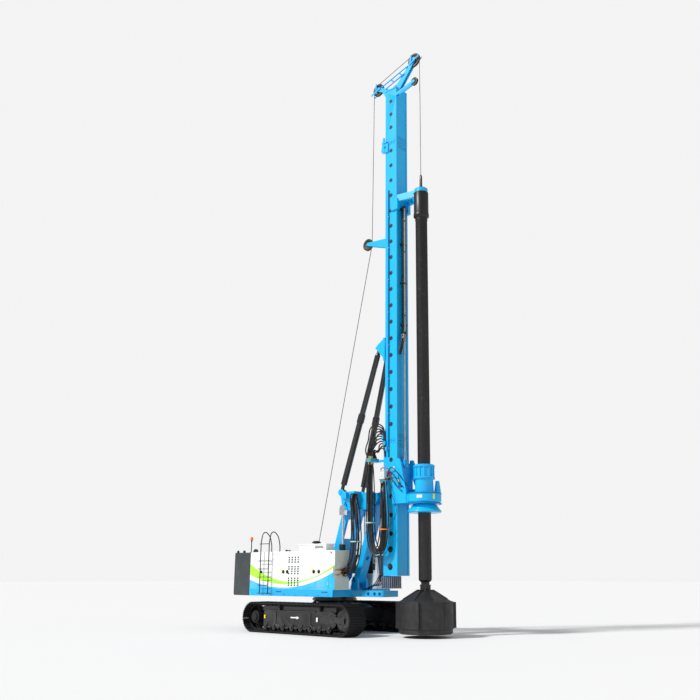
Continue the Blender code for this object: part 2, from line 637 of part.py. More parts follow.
def build_roof_fittings(upper):
    """Exhaust stack with its cap, and the beacon on its post."""
    foot = ROOF + SEAT
    stack = lathe([(0, foot), (0.06, foot), (0.06, EXHAUST_TOP - 0.10), (0.17, EXHAUST_TOP - 0.08),
                   (0.17, EXHAUST_TOP - 0.05), (0.10, EXHAUST_TOP), (0, EXHAUST_TOP)], EXHAUST, SMALL_SIDES)
    upper.add("exhaust_stack", stack, "black")
    beacon = lathe([(0, foot), (0.05, foot), (0.05, foot + 0.02), (0.02, foot + 0.03), (0.02, BEACON_TOP - 0.15),
                    (0.055, BEACON_TOP - 0.14), (0.055, BEACON_TOP - 0.05), (0.03, BEACON_TOP), (0, BEACON_TOP)],
                   BEACON, SMALL_SIDES)
    upper.add("beacon", beacon, "black")


def build_winch(make_body):
    drum = make_body("winch_drum", (WINCH_X, 0.0, WINCH_Z))
    half, flange = DRUM_HALF_LENGTH, 0.04
    core = ybar(WINCH_X, WINCH_Z, -half + 0.02, half - 0.02, DRUM_RADIUS, SIDES)
    rims = [ybar(WINCH_X, WINCH_Z, side * half, side * (half - flange), DRUM_FLANGE, SIDES) for side in (-1, 1)]
    drum.add("winch_drum", join(core, *rims), "steel")


# ---------------------------------------------------------------- linkage
def build_boom(boom):
    foot, head = BOOM_FOOT, BOOM_HEAD
    half = BOOM_HALF_WIDTH
    side = [(foot[0] - 0.24, foot[1] - 0.06), (foot[0] - 0.10, foot[1] - 0.16), (foot[0] + 0.14, foot[1] - 0.16),
            (foot[0] + 0.40, foot[1] + 0.10), (foot[0] + 0.60, foot[1] + 1.20), (head[0] + 0.15, head[1] - 0.04),
            (head[0] + 0.08, head[1] + 0.14), (head[0] - 0.08, head[1] + 0.14), (head[0] - 0.17, head[1] - 0.06),
            (foot[0] + 0.22, foot[1] + 1.00)]
    solid = prism(side, -half, half)
    lower = prism([(foot[0] + 0.02, foot[1] + 0.22), (foot[0] + 0.34, foot[1] + 0.22), (foot[0] + 0.52, foot[1] + 1.15),
                   (foot[0] + 0.32, foot[1] + 1.05)], -half + 0.06, half - 0.06)
    tunnel = box(foot[0] - 0.5, foot[0] + 0.25, -half + 0.10, half - 0.10, foot[1] + 0.30, foot[1] + 0.80)
    mouth = box(foot[0] + 0.1, foot[0] + 1.2, -half + 0.12, half - 0.12, foot[1] + 1.5, foot[1] + 2.2)
    boom.add("boom", cut(solid, lower, tunnel, mouth), "blue")


def build_strut(strut):
    half = STRUT_HALF_WIDTH
    body = capsule(STRUT_FOOT, STRUT_HEAD, 0.125, -half, half)
    holes = []
    for share in (0.30, 0.62):
        x = STRUT_FOOT[0] + LINK[0] * share
        z = STRUT_FOOT[1] + LINK[1] * share
        holes.append(bar((x - 0.4, 0, z + 0.1), (x + 0.4, 0, z - 0.1), 0.08))
    strut.add("strut", cut(body, *holes), "blue")


def triangle_side():
    """Side plate of the triangular frame, as (x, z) points around its four pivots."""
    return [(BOOM_HEAD[0] - 0.18, BOOM_HEAD[1] - 0.10), (BOOM_HEAD[0] + 0.02, BOOM_HEAD[1] - 0.19),
            (STRUT_HEAD[0] + 0.10, STRUT_HEAD[1] - 0.19), (MAST_PIVOT[0] + 0.02, MAST_PIVOT[1] - 0.17),
            (MAST_PIVOT[0] + 0.12, MAST_PIVOT[1] - 0.04), (MAST_PIVOT[0] + 0.06, MAST_PIVOT[1] + 0.13),
            (MAST_PIVOT[0] - 0.30, MAST_PIVOT[1] + 0.18), (1.40, 4.98), (KNUCKLE[0] + 0.16, KNUCKLE[1] + 0.03),
            (KNUCKLE[0] + 0.06, KNUCKLE[1] + 0.11), (KNUCKLE[0] - 0.06, KNUCKLE[1] + 0.11),
            (KNUCKLE[0] - 0.14, KNUCKLE[1])]


def build_triangle(triangle):
    outline = triangle_side()
    parts = []
    for side in (-1, 1):
        if side == 1:
            parts.append(prism(outline, PLATE_IN, PLATE_OUT))
        inner = side * (STRUT_HALF_WIDTH + PIN_GAP)
        parts.append(capsule(STRUT_HEAD, (STRUT_HEAD[0] - 0.12, STRUT_HEAD[1] + 0.34), 0.14, inner, inner + side * 0.05))
        outer = side * (MAST_CYL_FOOT_Y + 0.035 + PIN_GAP)
        parts.append(capsule(KNUCKLE, (KNUCKLE[0] + 0.18, KNUCKLE[1] - 0.12), 0.12, outer, outer + side * 0.05))
        parts.append(box(KNUCKLE[0] + 0.16, KNUCKLE[0] + 0.30, side * PLATE_IN, outer + side * 0.05,
                         KNUCKLE[1] - 0.25, KNUCKLE[1] - 0.02))
        parts.append(ybar(KNUCKLE[0], KNUCKLE[1], outer + side * 0.04, outer + side * 0.075, 0.07))
        head_in = side * 0.27
        parts.append(prism([(MAST_PIVOT[0] - 0.40, MAST_PIVOT[1] - 0.10), (MAST_PIVOT[0] - 0.25, MAST_PIVOT[1] - 0.12),
                            (MAST_PIVOT[0] - 0.25, MAST_PIVOT[1] + 0.12), (MAST_PIVOT[0] - 0.40, MAST_PIVOT[1] + 0.10)],
                           head_in, side * (PLATE_IN + 0.01)))
    parts.append(ybar(MAST_PIVOT[0], MAST_PIVOT[1], -0.27, 0.27, 0.12, 20))
    parts.append(box(MAST_PIVOT[0] - 0.38, MAST_PIVOT[0], -0.27, 0.27, MAST_PIVOT[1] - 0.09, MAST_PIVOT[1] + 0.09))
    parts.append(ybar(STRUT_HEAD[0] - 0.12, STRUT_HEAD[1] + 0.34, -PLATE_IN - 0.01, PLATE_IN + 0.01, 0.10))
    parts.append(box(1.24, 1.40, -PLATE_IN - 0.01, PLATE_IN + 0.01, 4.62, 4.90))
    parts.append(box(1.48, 1.76, -PLATE_OUT + 0.02, -0.86, BULKHEAD_Z, BULKHEAD_Z + 0.08))
    plate = prism(outline, -PLATE_OUT, -PLATE_IN)
    triangle.add("triangle_frame", join(plate, *parts), "blue")


def build_luff_cylinder(make_barrel, make_rod, name, side):
    y = side * LUFF_Y
    (x, foot), eye = LUFF_FOOT, LUFF_EYE[1]
    barrel_body = make_barrel(name + "_luff_barrel", (x, y, foot))
    eye_part = ybar(x, foot, y - 0.05, y + 0.05, 0.09, SMALL_SIDES)
    neck = box(x - 0.07, x + 0.07, y - 0.045, y + 0.045, foot, foot + 0.16)
    tube = lathe([(0, foot + 0.13), (LUFF_BARREL_RADIUS, foot + 0.13), (LUFF_BARREL_RADIUS, 2.95),
                  (0.125, 2.95), (0.125, LUFF_GLAND_TOP), (0, LUFF_GLAND_TOP)], (x, y), SIDES)
    bore = lathe([(0, foot + 0.3), (LUFF_ROD_RADIUS + PIN_GAP, foot + 0.3), (LUFF_ROD_RADIUS + PIN_GAP, 4.0), (0, 4.0)],
                 (x, y), SIDES)
    barrel_body.add(name + "_luff_barrel", cut(join(tube, neck, eye_part), bore), "black")
    rod_body = make_rod(name + "_luff_rod", (x, y, eye))
    rod = lathe([(0, foot + 0.55), (LUFF_ROD_RADIUS, foot + 0.55), (LUFF_ROD_RADIUS, eye - 0.1), (0, eye - 0.1)],
                (x, y), SIDES)
    inner = side * (PLATE_OUT + RUN_GAP)
    fork = prism([(x - 0.13, eye - 0.22), (x + 0.11, eye - 0.22), (x + 0.13, eye + 0.02), (x + 0.08, eye + 0.14),
                  (x - 0.08, eye + 0.14), (x - 0.13, eye + 0.02)], inner, inner + side * 0.16)
    rod_body.add(name + "_luff_rod", join(fork, rod), "chrome")


def build_mast_cylinder(make_barrel, make_rod, name, side):
    foot = Vector((KNUCKLE[0], side * MAST_CYL_FOOT_Y, KNUCKLE[1]))
    eye = Vector((MAST_EYE[0], side * MAST_CYL_TOP_Y, MAST_EYE[1]))
    along = (eye - foot).normalized()
    length = (eye - foot).length
    gland = foot + along * length * MAST_BARREL_SHARE
    barrel_body = make_barrel(name + "_mast_barrel", foot)
    parts = [ybar(foot.x, foot.z, foot.y - 0.035, foot.y + 0.035, 0.11, 20),
             capsule(KNUCKLE, (foot.x + along.x * 0.34, foot.z + along.z * 0.34), 0.06, foot.y - 0.033, foot.y + 0.033),
             bar(foot + along * 0.29, gland, MAST_BARREL_RADIUS, SIDES),
             bar(gland - along * 0.30, gland, MAST_BARREL_RADIUS + 0.022, SIDES)]
    tube = join(*parts)
    bore = bar(foot + along * 0.45, gland + along * 0.2, MAST_ROD_RADIUS + PIN_GAP, SIDES)
    barrel_body.add(name + "_mast_barrel", cut(tube, bore), "black")
    rod_body = make_rod(name + "_mast_rod", eye)
    rod = bar(foot + along * 1.30, eye - along * 0.22, MAST_ROD_RADIUS, SIDES)
    neck = capsule(MAST_EYE, (eye.x - along.x * 0.30, eye.z - along.z * 0.30), 0.055, eye.y - 0.038, eye.y + 0.038)
    lug = ybar(eye.x, eye.z, eye.y - 0.04, eye.y + 0.04, 0.10, 20)
    rod_body.add(name + "_mast_rod", join(rod, neck, lug), "black")
    return along


# ---------------------------------------------------------------- mast
def mast_section(rear, bottom, top, closed_bottom=False):
    shell = box(rear, MAST_FRONT, -HALF_MAST, HALF_MAST, bottom, top)
    core = box(rear + MAST_WALL, MAST_FRONT - MAST_WALL, -HALF_MAST + MAST_WALL, HALF_MAST - MAST_WALL,
               bottom + 0.04 if closed_bottom else bottom - 0.1, top + 0.1)
    return cut(shell, core)


def rails(bottom, top):
    return [box(MAST_FRONT - 0.01, MAST_FRONT + RAIL, side * HALF_MAST, side * (HALF_MAST - RAIL_WIDTH), bottom, top)
            for side in (-1, 1)]


def build_mast(mast):
    lower = mast_section(FOOT_REAR, MAST_BOTTOM, DEEP_TOP, closed_bottom=True)
    parts = rails(MAST_BOTTOM, DEEP_TOP)
    parts.append(box(2.24, FOOT_REAR + 0.01, -0.33, -0.25, CLAMP_Z, CLAMP_Z + 0.08))
    parts.append(box(2.24, 2.44, -0.73, -0.26, CLAMP_Z, CLAMP_Z + 0.08))
    for side in (-1, 1):
        inner = side * (0.27 + PIN_GAP)
        outer = side * (HALF_MAST - 0.002)
        parts.append(capsule(MAST_PIVOT, (FOOT_REAR + 0.02, MAST_PIVOT[1] + 0.02), 0.15, inner, outer))
    lower = join(lower, *parts)
    mast.add("lower_mast", lower, "blue")

    middle = mast_section(MAST_REAR, DEEP_TOP + SEAT, TOP_JOINT)
    parts = rails(DEEP_TOP + SEAT, TOP_JOINT)
    ear_z = MAST_EYE[1]
    gap = 0.04 + 0.045
    for side in (-1, 1):
        for reach in (-1, 1):
            face = side * MAST_CYL_TOP_Y + reach * gap
            face_out = face + reach * 0.03
            parts.append(prism([(MAST_REAR + 0.01, ear_z - 0.55), (MAST_REAR + 0.01, ear_z + 0.35),
                                (MAST_EYE[0], ear_z + 0.12), (MAST_EYE[0] - 0.13, ear_z), (MAST_EYE[0], ear_z - 0.12)],
                               face, face_out))
    parts.append(box(MAST_REAR - 0.08, MAST_REAR + 0.01, -MAST_CYL_TOP_Y - gap - 0.03, MAST_CYL_TOP_Y + gap + 0.03,
                     ear_z - 0.55, ear_z - 0.35))
    parts.append(box(MAST_REAR - 0.08, MAST_REAR + 0.01, -MAST_CYL_TOP_Y - gap - 0.03, MAST_CYL_TOP_Y + gap + 0.03,
                     ear_z + 0.25, ear_z + 0.35))
    px, py, pz = GUIDE_PULLEY
    for reach in (-1, 1):
        face = py + reach * (SHEAVE_WIDTH / 2 + PIN_GAP)
        parts.append(prism([(MAST_REAR + 0.01, pz - 0.42), (MAST_REAR + 0.01, pz - 0.02), (px + 0.02, pz + 0.07),
                            (px - 0.07, pz), (px + 0.02, pz - 0.07)], face, face + reach * 0.025))
    parts.append(ybar(px, pz, py - 0.06, py + 0.06, SHEAVE_AXLE))
    middle = join(middle, *parts)
    mast.add("middle_mast", middle, "blue")

    head = mast_section(MAST_REAR, TOP_JOINT + SEAT, MAST_TOP)
    parts = rails(TOP_JOINT + SEAT, MAST_TOP)
    parts.append(box(MAST_REAR - 0.03, MAST_FRONT + 0.012, -HALF_MAST - 0.02, HALF_MAST + 0.02, MAST_TOP - 0.03, MAST_TOP + 0.03))
    half = SHEAVE_WIDTH / 2 + PIN_GAP
    tx, _, tz = TOP_SHEAVE
    rx, _, rz = REAR_SHEAVE
    for side in (-1, 1):
        y0, y1 = side * half, side * (half + 0.035)
        parts.append(capsule((3.18, MAST_TOP + 0.02), (tx, tz), 0.11, y0, y1))
        parts.append(capsule((2.95, MAST_TOP + 0.02), (3.78, tz - 0.32), 0.06, y0, y1))
        parts.append(capsule((3.00, MAST_TOP + 0.06), (rx, rz), 0.09, y0, y1))
        parts.append(capsule((2.86, MAST_TOP - 0.5), (rx + 0.28, rz - 0.12), 0.05, y0, y1))
        ay = AUX_SHEAVE[1] + side * (half + 0.0125)
        parts.append(capsule((MAST_FRONT - 0.02, AUX_SHEAVE[2] - 0.22), (AUX_SHEAVE[0], AUX_SHEAVE[2]), 0.06,
                             ay - 0.0125, ay + 0.0125))
    parts.append(ybar(tx, tz, -half - 0.03, half + 0.03, SHEAVE_AXLE))
    parts.append(ybar(rx, rz, -half - 0.03, half + 0.03, SHEAVE_AXLE))
    parts.append(ybar(AUX_SHEAVE[0], AUX_SHEAVE[2], AUX_SHEAVE[1] - half - 0.02, AUX_SHEAVE[1] + half + 0.02, SHEAVE_AXLE))
    head = join(head, *parts)
    mast.add("mast_head", head, "blue")

    bore = CROWD_ROD_RADIUS + PIN_GAP
    barrel = lathe([(bore, CROWD_BOTTOM), (CROWD_RADIUS + 0.02, CROWD_BOTTOM), (CROWD_RADIUS + 0.02, CROWD_BOTTOM + 0.2),
                    (CROWD_RADIUS, CROWD_BOTTOM + 0.2), (CROWD_RADIUS, CROWD_TOP - 0.03), (bore, CROWD_TOP - 0.03)],
                   (CROWD_X, 0.0), SIDES)
    cap = lathe([(0, CROWD_TOP - 0.06), (CROWD_RADIUS - 0.015, CROWD_TOP - 0.06), (CROWD_RADIUS - 0.015, CROWD_TOP),
                 (0, CROWD_TOP)], (CROWD_X, 0.0), SIDES)
    clamps = [box(MAST_FRONT + SEAT, CROWD_X + 0.05, -0.12, 0.12, z, z + 0.08) for z in (11.2, 12.9, 14.5, 16.0)]
    hole = lathe([(0, CROWD_BOTTOM - 0.2), (bore, CROWD_BOTTOM - 0.2), (bore, CROWD_TOP - 0.06 - SEAT),
                  (0, CROWD_TOP - 0.06 - SEAT)], (CROWD_X, 0.0), SIDES)
    mast.add("crowd_barrel", join(barrel, cap, *[cut(clamp, hole_copy) for clamp, hole_copy in zip(clamps, copies(hole, len(clamps)))]), "black")


def sheave(center, radius, width=SHEAVE_WIDTH - 0.0002):
    """Grooved rope wheel that turns about Y."""
    half = width / 2
    rim, groove = radius, radius - 0.045
    bore = SHEAVE_AXLE + 0.0009
    hub = bore + 0.03
    web = max(groove - 0.05, hub + 0.02)
    wheel = lathe([(bore, -half), (hub, -half), (hub, -half * 0.5), (web, -half * 0.5), (web + 0.01, -half * 0.9),
                   (rim, -half * 0.9), (groove, 0), (rim, half * 0.9), (web + 0.01, half * 0.9),
                   (web, half * 0.5), (hub, half * 0.5), (hub, half), (bore, half)], sides=SIDES)
    wheel.data.transform(Matrix.Translation(center) @ Matrix.Rotation(math.radians(90), 4, "X"))
    return wheel


# ---------------------------------------------------------------- drive, kelly and bucket
def build_carriage(carriage):
    inner, outer = HALF_MAST + PIN_GAP, CARRIAGE_HALF_WIDTH
    z0, z1 = CARRIAGE_BOTTOM, CARRIAGE_TOP
    front = MAST_FRONT + RAIL + 0.0008
    parts = []
    for side in (-1, 1):
        plate = prism([(3.02, 5.72), (3.02, 5.30), (3.20, 5.14), (3.20, z0), (GEARBOX_SEAT_X, z0), (GEARBOX_SEAT_X, GEARBOX_TOP + 0.06),
                       (3.62, z1 - 0.15), (3.55, z1), (3.42, z1), (3.42, 5.80)], side * inner, side * outer)
        window = prism([(3.50, 5.05), (3.70, 5.05), (3.50, 5.55)], side * (inner - 0.1), side * (outer + 0.1))
        parts.append(cut(plate, window))
    parts.append(box(front, front + 0.09, -outer + 0.002, outer - 0.002, z0 + 0.02, z1 - 0.12))
    parts.append(box(front + 0.05, KELLY_X - GEARBOX_RADIUS - 0.02, -outer + 0.004, outer - 0.004, z0 + 0.01, z0 + 0.12))
    body = join(*parts)
    top_lug = box(front + 0.02, CROWD_X + 0.08, -0.10, 0.10, z1 - 0.30, z1)
    tray = box(2.86, 3.10, -outer + 0.03, -0.70, TRAY_Z, TRAY_Z + 0.06)
    carriage.add("drive_carriage", join(body, top_lug, tray), "blue")
    rod = lathe([(0, z1 + SEAT), (CROWD_ROD_RADIUS, z1 + SEAT), (CROWD_ROD_RADIUS, CROWD_ROD_TOP), (0, CROWD_ROD_TOP)],
                (CROWD_X, 0.0), SIDES)
    eye = lathe([(0, z1 + SEAT), (0.065, z1 + SEAT), (0.065, z1 + 0.14), (0, z1 + 0.14)], (CROWD_X, 0.0), SIDES)
    carriage.add("crowd_rod", join(rod, eye), "chrome")

    drum = lathe([(GEARBOX_RADIUS - 0.06, GEARBOX_BOTTOM), (GEARBOX_RADIUS, GEARBOX_BOTTOM + 0.10),
                  (GEARBOX_RADIUS, GEARBOX_TOP - 0.04), (GEARBOX_RADIUS - 0.05, GEARBOX_TOP), (GEARBOX_BORE, GEARBOX_TOP),
                  (GEARBOX_BORE, GEARBOX_BOTTOM)], (KELLY_X, 0.0), 32)
    seat_x = GEARBOX_SEAT_X + SEAT
    arm_y = outer - 0.02
    arm = box(seat_x, KELLY_X, -arm_y, arm_y, GEARBOX_BOTTOM + 0.06, GEARBOX_TOP - 0.03)
    core = lathe([(0, 4.0), (GEARBOX_BORE, 4.0), (GEARBOX_BORE, 5.4), (0, 5.4)], (KELLY_X, 0.0), 32)
    motor = lathe([(0, GEARBOX_TOP - 0.1), (0.10, GEARBOX_TOP - 0.1), (0.10, 5.36), (0, 5.36)], (4.16, 0.39), SMALL_SIDES)
    cover = lathe([(0, GEARBOX_TOP - 0.1), (0.12, GEARBOX_TOP - 0.1), (0.12, GEARBOX_TOP + 0.06), (0.07, 5.26), (0, 5.26)],
                  (4.715, 0.308), SMALL_SIDES)
    carriage.add("drive_gearbox", join(cut(arm, core), drum, motor, cover), "blue")


def build_sleeve(sleeve):
    rib = 0.02
    tube = lathe([(SLEEVE_BORE, OUTPUT_BOTTOM), (OUTPUT_RADIUS - 0.02, OUTPUT_BOTTOM), (OUTPUT_RADIUS, OUTPUT_BOTTOM + 0.02),
                  (OUTPUT_RADIUS, OUTPUT_BOTTOM + 0.05), (0.42, GEARBOX_BOTTOM - 0.012), (SLEEVE_TUBE, GEARBOX_BOTTOM - 0.012),
                  (SLEEVE_TUBE, GEARBOX_TOP + SEAT * 2), (0.34, GEARBOX_TOP + SEAT * 2), (0.32, CONE_TOP),
                  (COLLAR_RADIUS - rib, CONE_TOP + 0.02), (COLLAR_RADIUS - rib, COLLAR_TOP - 0.08),
                  (COLLAR_RADIUS, COLLAR_TOP - 0.06), (COLLAR_RADIUS, COLLAR_TOP), (SLEEVE_BORE, COLLAR_TOP)],
                 (KELLY_X, 0.0), 32)
    sleeve.add("drive_sleeve", tube, "blue")


def build_kelly_guide(guide):
    """Follower frame on the mast rails that carries the swivelling top of the kelly bar."""
    inner, outer = HALF_MAST + PIN_GAP, HALF_MAST + 0.07
    front = MAST_FRONT + RAIL + 0.0008
    ring = lathe([(NECK_RADIUS + 0.0025, KELLY_HEAD_TOP + 0.006), (0.26, KELLY_HEAD_TOP + 0.006), (0.26, GUIDE_RING_TOP),
                  (NECK_RADIUS + 0.0025, GUIDE_RING_TOP)], (KELLY_X, 0.0), SIDES)
    parts = []
    for side in (-1, 1):
        parts.append(box(3.16, front + 0.10, side * inner, side * outer, 15.95, 16.40))
        parts.append(box(front, front + 0.10, side * (HALF_MAST - RAIL_WIDTH), side * (outer - 0.002), 15.952, 16.398))
        parts.append(prism([(front + 0.03, side * (outer - 0.05)), (front + 0.03, side * 0.28), (KELLY_X - 0.14, side * 0.11),
                            (KELLY_X - 0.10, side * 0.20)], KELLY_HEAD_TOP - 0.16, KELLY_HEAD_TOP + 0.12, axis="z"))
    trim = lathe([(0, 16.0), (KELLY_HEAD_RADIUS + 0.02, 16.0), (KELLY_HEAD_RADIUS + 0.02, KELLY_HEAD_TOP + 0.006),
                  (0, KELLY_HEAD_TOP + 0.006)], (KELLY_X, 0.0), SIDES)
    neck = lathe([(0, 15.9), (NECK_RADIUS + 0.0025, 15.9), (NECK_RADIUS + 0.0025, 17.0), (0, 17.0)], (KELLY_X, 0.0), SIDES)
    parts.append(box(3.64, 3.72, -0.30, 0.30, KELLY_HEAD_TOP - 0.10, KELLY_HEAD_TOP + 0.08))
    guide.add("kelly_guide", cut(join(ring, *parts), trim, neck), "blue")
    swivel = lathe([(0, GUIDE_RING_TOP + SEAT), (0.16, GUIDE_RING_TOP + SEAT), (0.16, GUIDE_RING_TOP + 0.04),
                    (0.09, GUIDE_RING_TOP + 0.05), (0.09, GUIDE_RING_TOP + 0.10),
                    (0.055, GUIDE_RING_TOP + 0.16), (0.055, SWIVEL_TOP - 0.10), (0.03, SWIVEL_TOP), (0, SWIVEL_TOP)],
                   (KELLY_X, 0.0), SMALL_SIDES)
    guide.add("rope_swivel", swivel, "black")


def build_kelly(kelly):
    bar_profile = [(0, KELLY_BOTTOM), (KELLY_RADIUS - 0.06, KELLY_BOTTOM), (KELLY_RADIUS, KELLY_BOTTOM + 0.06),
                   (KELLY_RADIUS, KELLY_HEAD_BOTTOM - 0.16), (KELLY_HEAD_RADIUS + 0.015, KELLY_HEAD_BOTTOM - 0.10),
                   (KELLY_HEAD_RADIUS + 0.015, KELLY_HEAD_BOTTOM), (KELLY_HEAD_RADIUS, KELLY_HEAD_BOTTOM + 0.02),
                   (KELLY_HEAD_RADIUS, KELLY_HEAD_TOP), (NECK_RADIUS, KELLY_HEAD_TOP), (NECK_RADIUS, GUIDE_RING_TOP),
                   (0, GUIDE_RING_TOP)]
    stub = box(KELLY_X - STUB / 2, KELLY_X + STUB / 2, -STUB / 2, STUB / 2, HUB_TOP + SEAT, KELLY_BOTTOM + 0.02)
    kelly.add("kelly_bar", join(lathe(bar_profile, (KELLY_X, 0.0), 32), stub), "charcoal")

    shell = lathe([(BUCKET_RADIUS - BUCKET_WALL, BUCKET_SHELL_BOTTOM), (BUCKET_RADIUS, BUCKET_SHELL_BOTTOM),
                   (BUCKET_RADIUS, BUCKET_TOP), (CONE_BASE_RADIUS, BUCKET_TOP + 0.012), (CONE_TIP_RADIUS, CONE_TIP),
                   (0.17, CONE_TIP), (0.17, HUB_TOP), (0, HUB_TOP), (0, CONE_TIP - 0.05), (CONE_TIP_RADIUS, CONE_TIP - 0.05),
                   (CONE_BASE_RADIUS, BUCKET_TOP - 0.03), (BUCKET_RADIUS - BUCKET_WALL, BUCKET_TOP - 0.04)],
                  (KELLY_X, 0.0), 40)
    ribs = []
    for angle in RIB_ANGLES:
        rib = box(BUCKET_RADIUS - 0.02, BUCKET_RADIUS + RIB_REACH, -0.05, 0.05, BUCKET_SHELL_BOTTOM + 0.01, BUCKET_TOP - 0.02)
        rib.data.transform(Matrix.Translation((KELLY_X, 0, 0)) @ Matrix.Rotation(math.radians(angle), 4, "Z"))
        ribs.append(rib)
    kelly.add("drilling_bucket", join(shell, *ribs), "charcoal")


def build_bucket_door(door):
    top = BUCKET_SHELL_BOTTOM - 0.005
    rim = BUCKET_RADIUS - 0.03
    plate = lathe([(0, top - 0.08), (rim - 0.10, top - 0.08), (rim - 0.10, BUCKET_BOTTOM + 0.02),
                   (rim - 0.03, BUCKET_BOTTOM + 0.02), (rim, BUCKET_BOTTOM + 0.06), (rim, top), (0.30, top),
                   (0.30, top - 0.02), (0, top - 0.02)], (KELLY_X, 0.0), 40)
    blade = box(KELLY_X - rim + 0.06, KELLY_X + rim - 0.06, -0.05, 0.05, BUCKET_BOTTOM + 0.05, top - 0.07)
    teeth = [prism([(-0.05, BUCKET_BOTTOM + 0.06), (0.03, BUCKET_BOTTOM), (0.05, BUCKET_BOTTOM + 0.06)],
                   KELLY_X + reach - 0.04, KELLY_X + reach + 0.04, axis="x") for reach in (-0.66, -0.44, -0.22, 0.22, 0.44, 0.66)]
    lug = box(KELLY_X - 0.14, KELLY_X + 0.14, BUCKET_RADIUS - 0.10, BUCKET_RADIUS, BUCKET_SHELL_BOTTOM - 0.10,
              BUCKET_SHELL_BOTTOM - SEAT)
    door.add("bucket_door", join(plate, lug, blade, *teeth), "charcoal")


# ---------------------------------------------------------------- hoses
def hose(body, name, route, radius):
    """Bundle of hoses as one tube along a smooth curve through the route's points."""
    points = [Vector(point) for point in route]
    path = []
    ends = [points[0] * 2 - points[1]] + points + [points[-1] * 2 - points[-2]]
    steps = 3
    for index in range(len(points) - 1):
        p0, p1, p2, p3 = ends[index:index + 4]
        for step in range(steps):
            t = step / steps
            path.append(0.5 * (2 * p1 + (p2 - p0) * t + (2 * p0 - 5 * p1 + 4 * p2 - p3) * t * t
                               + (3 * p1 - p0 - 3 * p2 + p3) * t * t * t))
    path.append(points[-1])
    curve = bpy.data.curves.new(name, "CURVE")
    curve.dimensions = "3D"
    curve.bevel_depth = radius
    curve.bevel_resolution = 2
    curve.use_fill_caps = True
    curve.render_resolution_u = 0
    spline = curve.splines.new("POLY")
    spline.points.add(len(path) - 1)
    for point, place in zip(spline.points, path):
        point.co = (*(place - body.pivot), 1.0)
    item = bpy.data.objects.new(name, curve)
    bpy.context.scene.collection.objects.link(item)
    curve.materials.append(finish("rubber"))
    item.parent = body.empty


BULKHEAD_HOSES = ((1.62, -0.72, BULKHEAD_Z - SEAT), (1.62, -0.72, BULKHEAD_Z - 0.15), (1.62, -0.72, BULKHEAD_Z - 0.30),
                  (1.68, -0.73, 4.35), (1.74, -0.75, 4.00), (1.79, -0.77, 3.65),
                  (1.83, -0.80, 3.25), (1.84, -0.84, 2.90), (1.82, -0.89, 2.60), (1.77, -0.96, 2.36), (1.70, -1.03, 2.20),
                  (1.60, -1.06, 2.14), (1.51, -1.06, 2.14), (DECK_FRONT + SEAT, -1.06, 2.14))
LOOP_HOSES = ((2.34, -0.62, CLAMP_Z - SEAT), (2.34, -0.62, CLAMP_Z - 0.15), (2.34, -0.62, CLAMP_Z - 0.30), (2.35, -0.63, 5.50), (2.36, -0.64, 5.20), (2.37, -0.65, 4.60), (2.38, -0.66, 4.00),
              (2.41, -0.66, 3.50), (2.48, -0.66, 3.12), (2.60, -0.66, 2.90), (2.74, -0.66, 2.84), (2.88, -0.66, 2.92),
              (2.98, -0.65, 3.20), (3.02, -0.64, 3.60), (3.02, -0.62, 4.10), (2.99, -0.60, 4.60), (2.97, -0.60, TRAY_Z - 0.30),
              (2.97, -0.60, TRAY_Z - 0.15), (2.97, -0.60, TRAY_Z - SEAT))


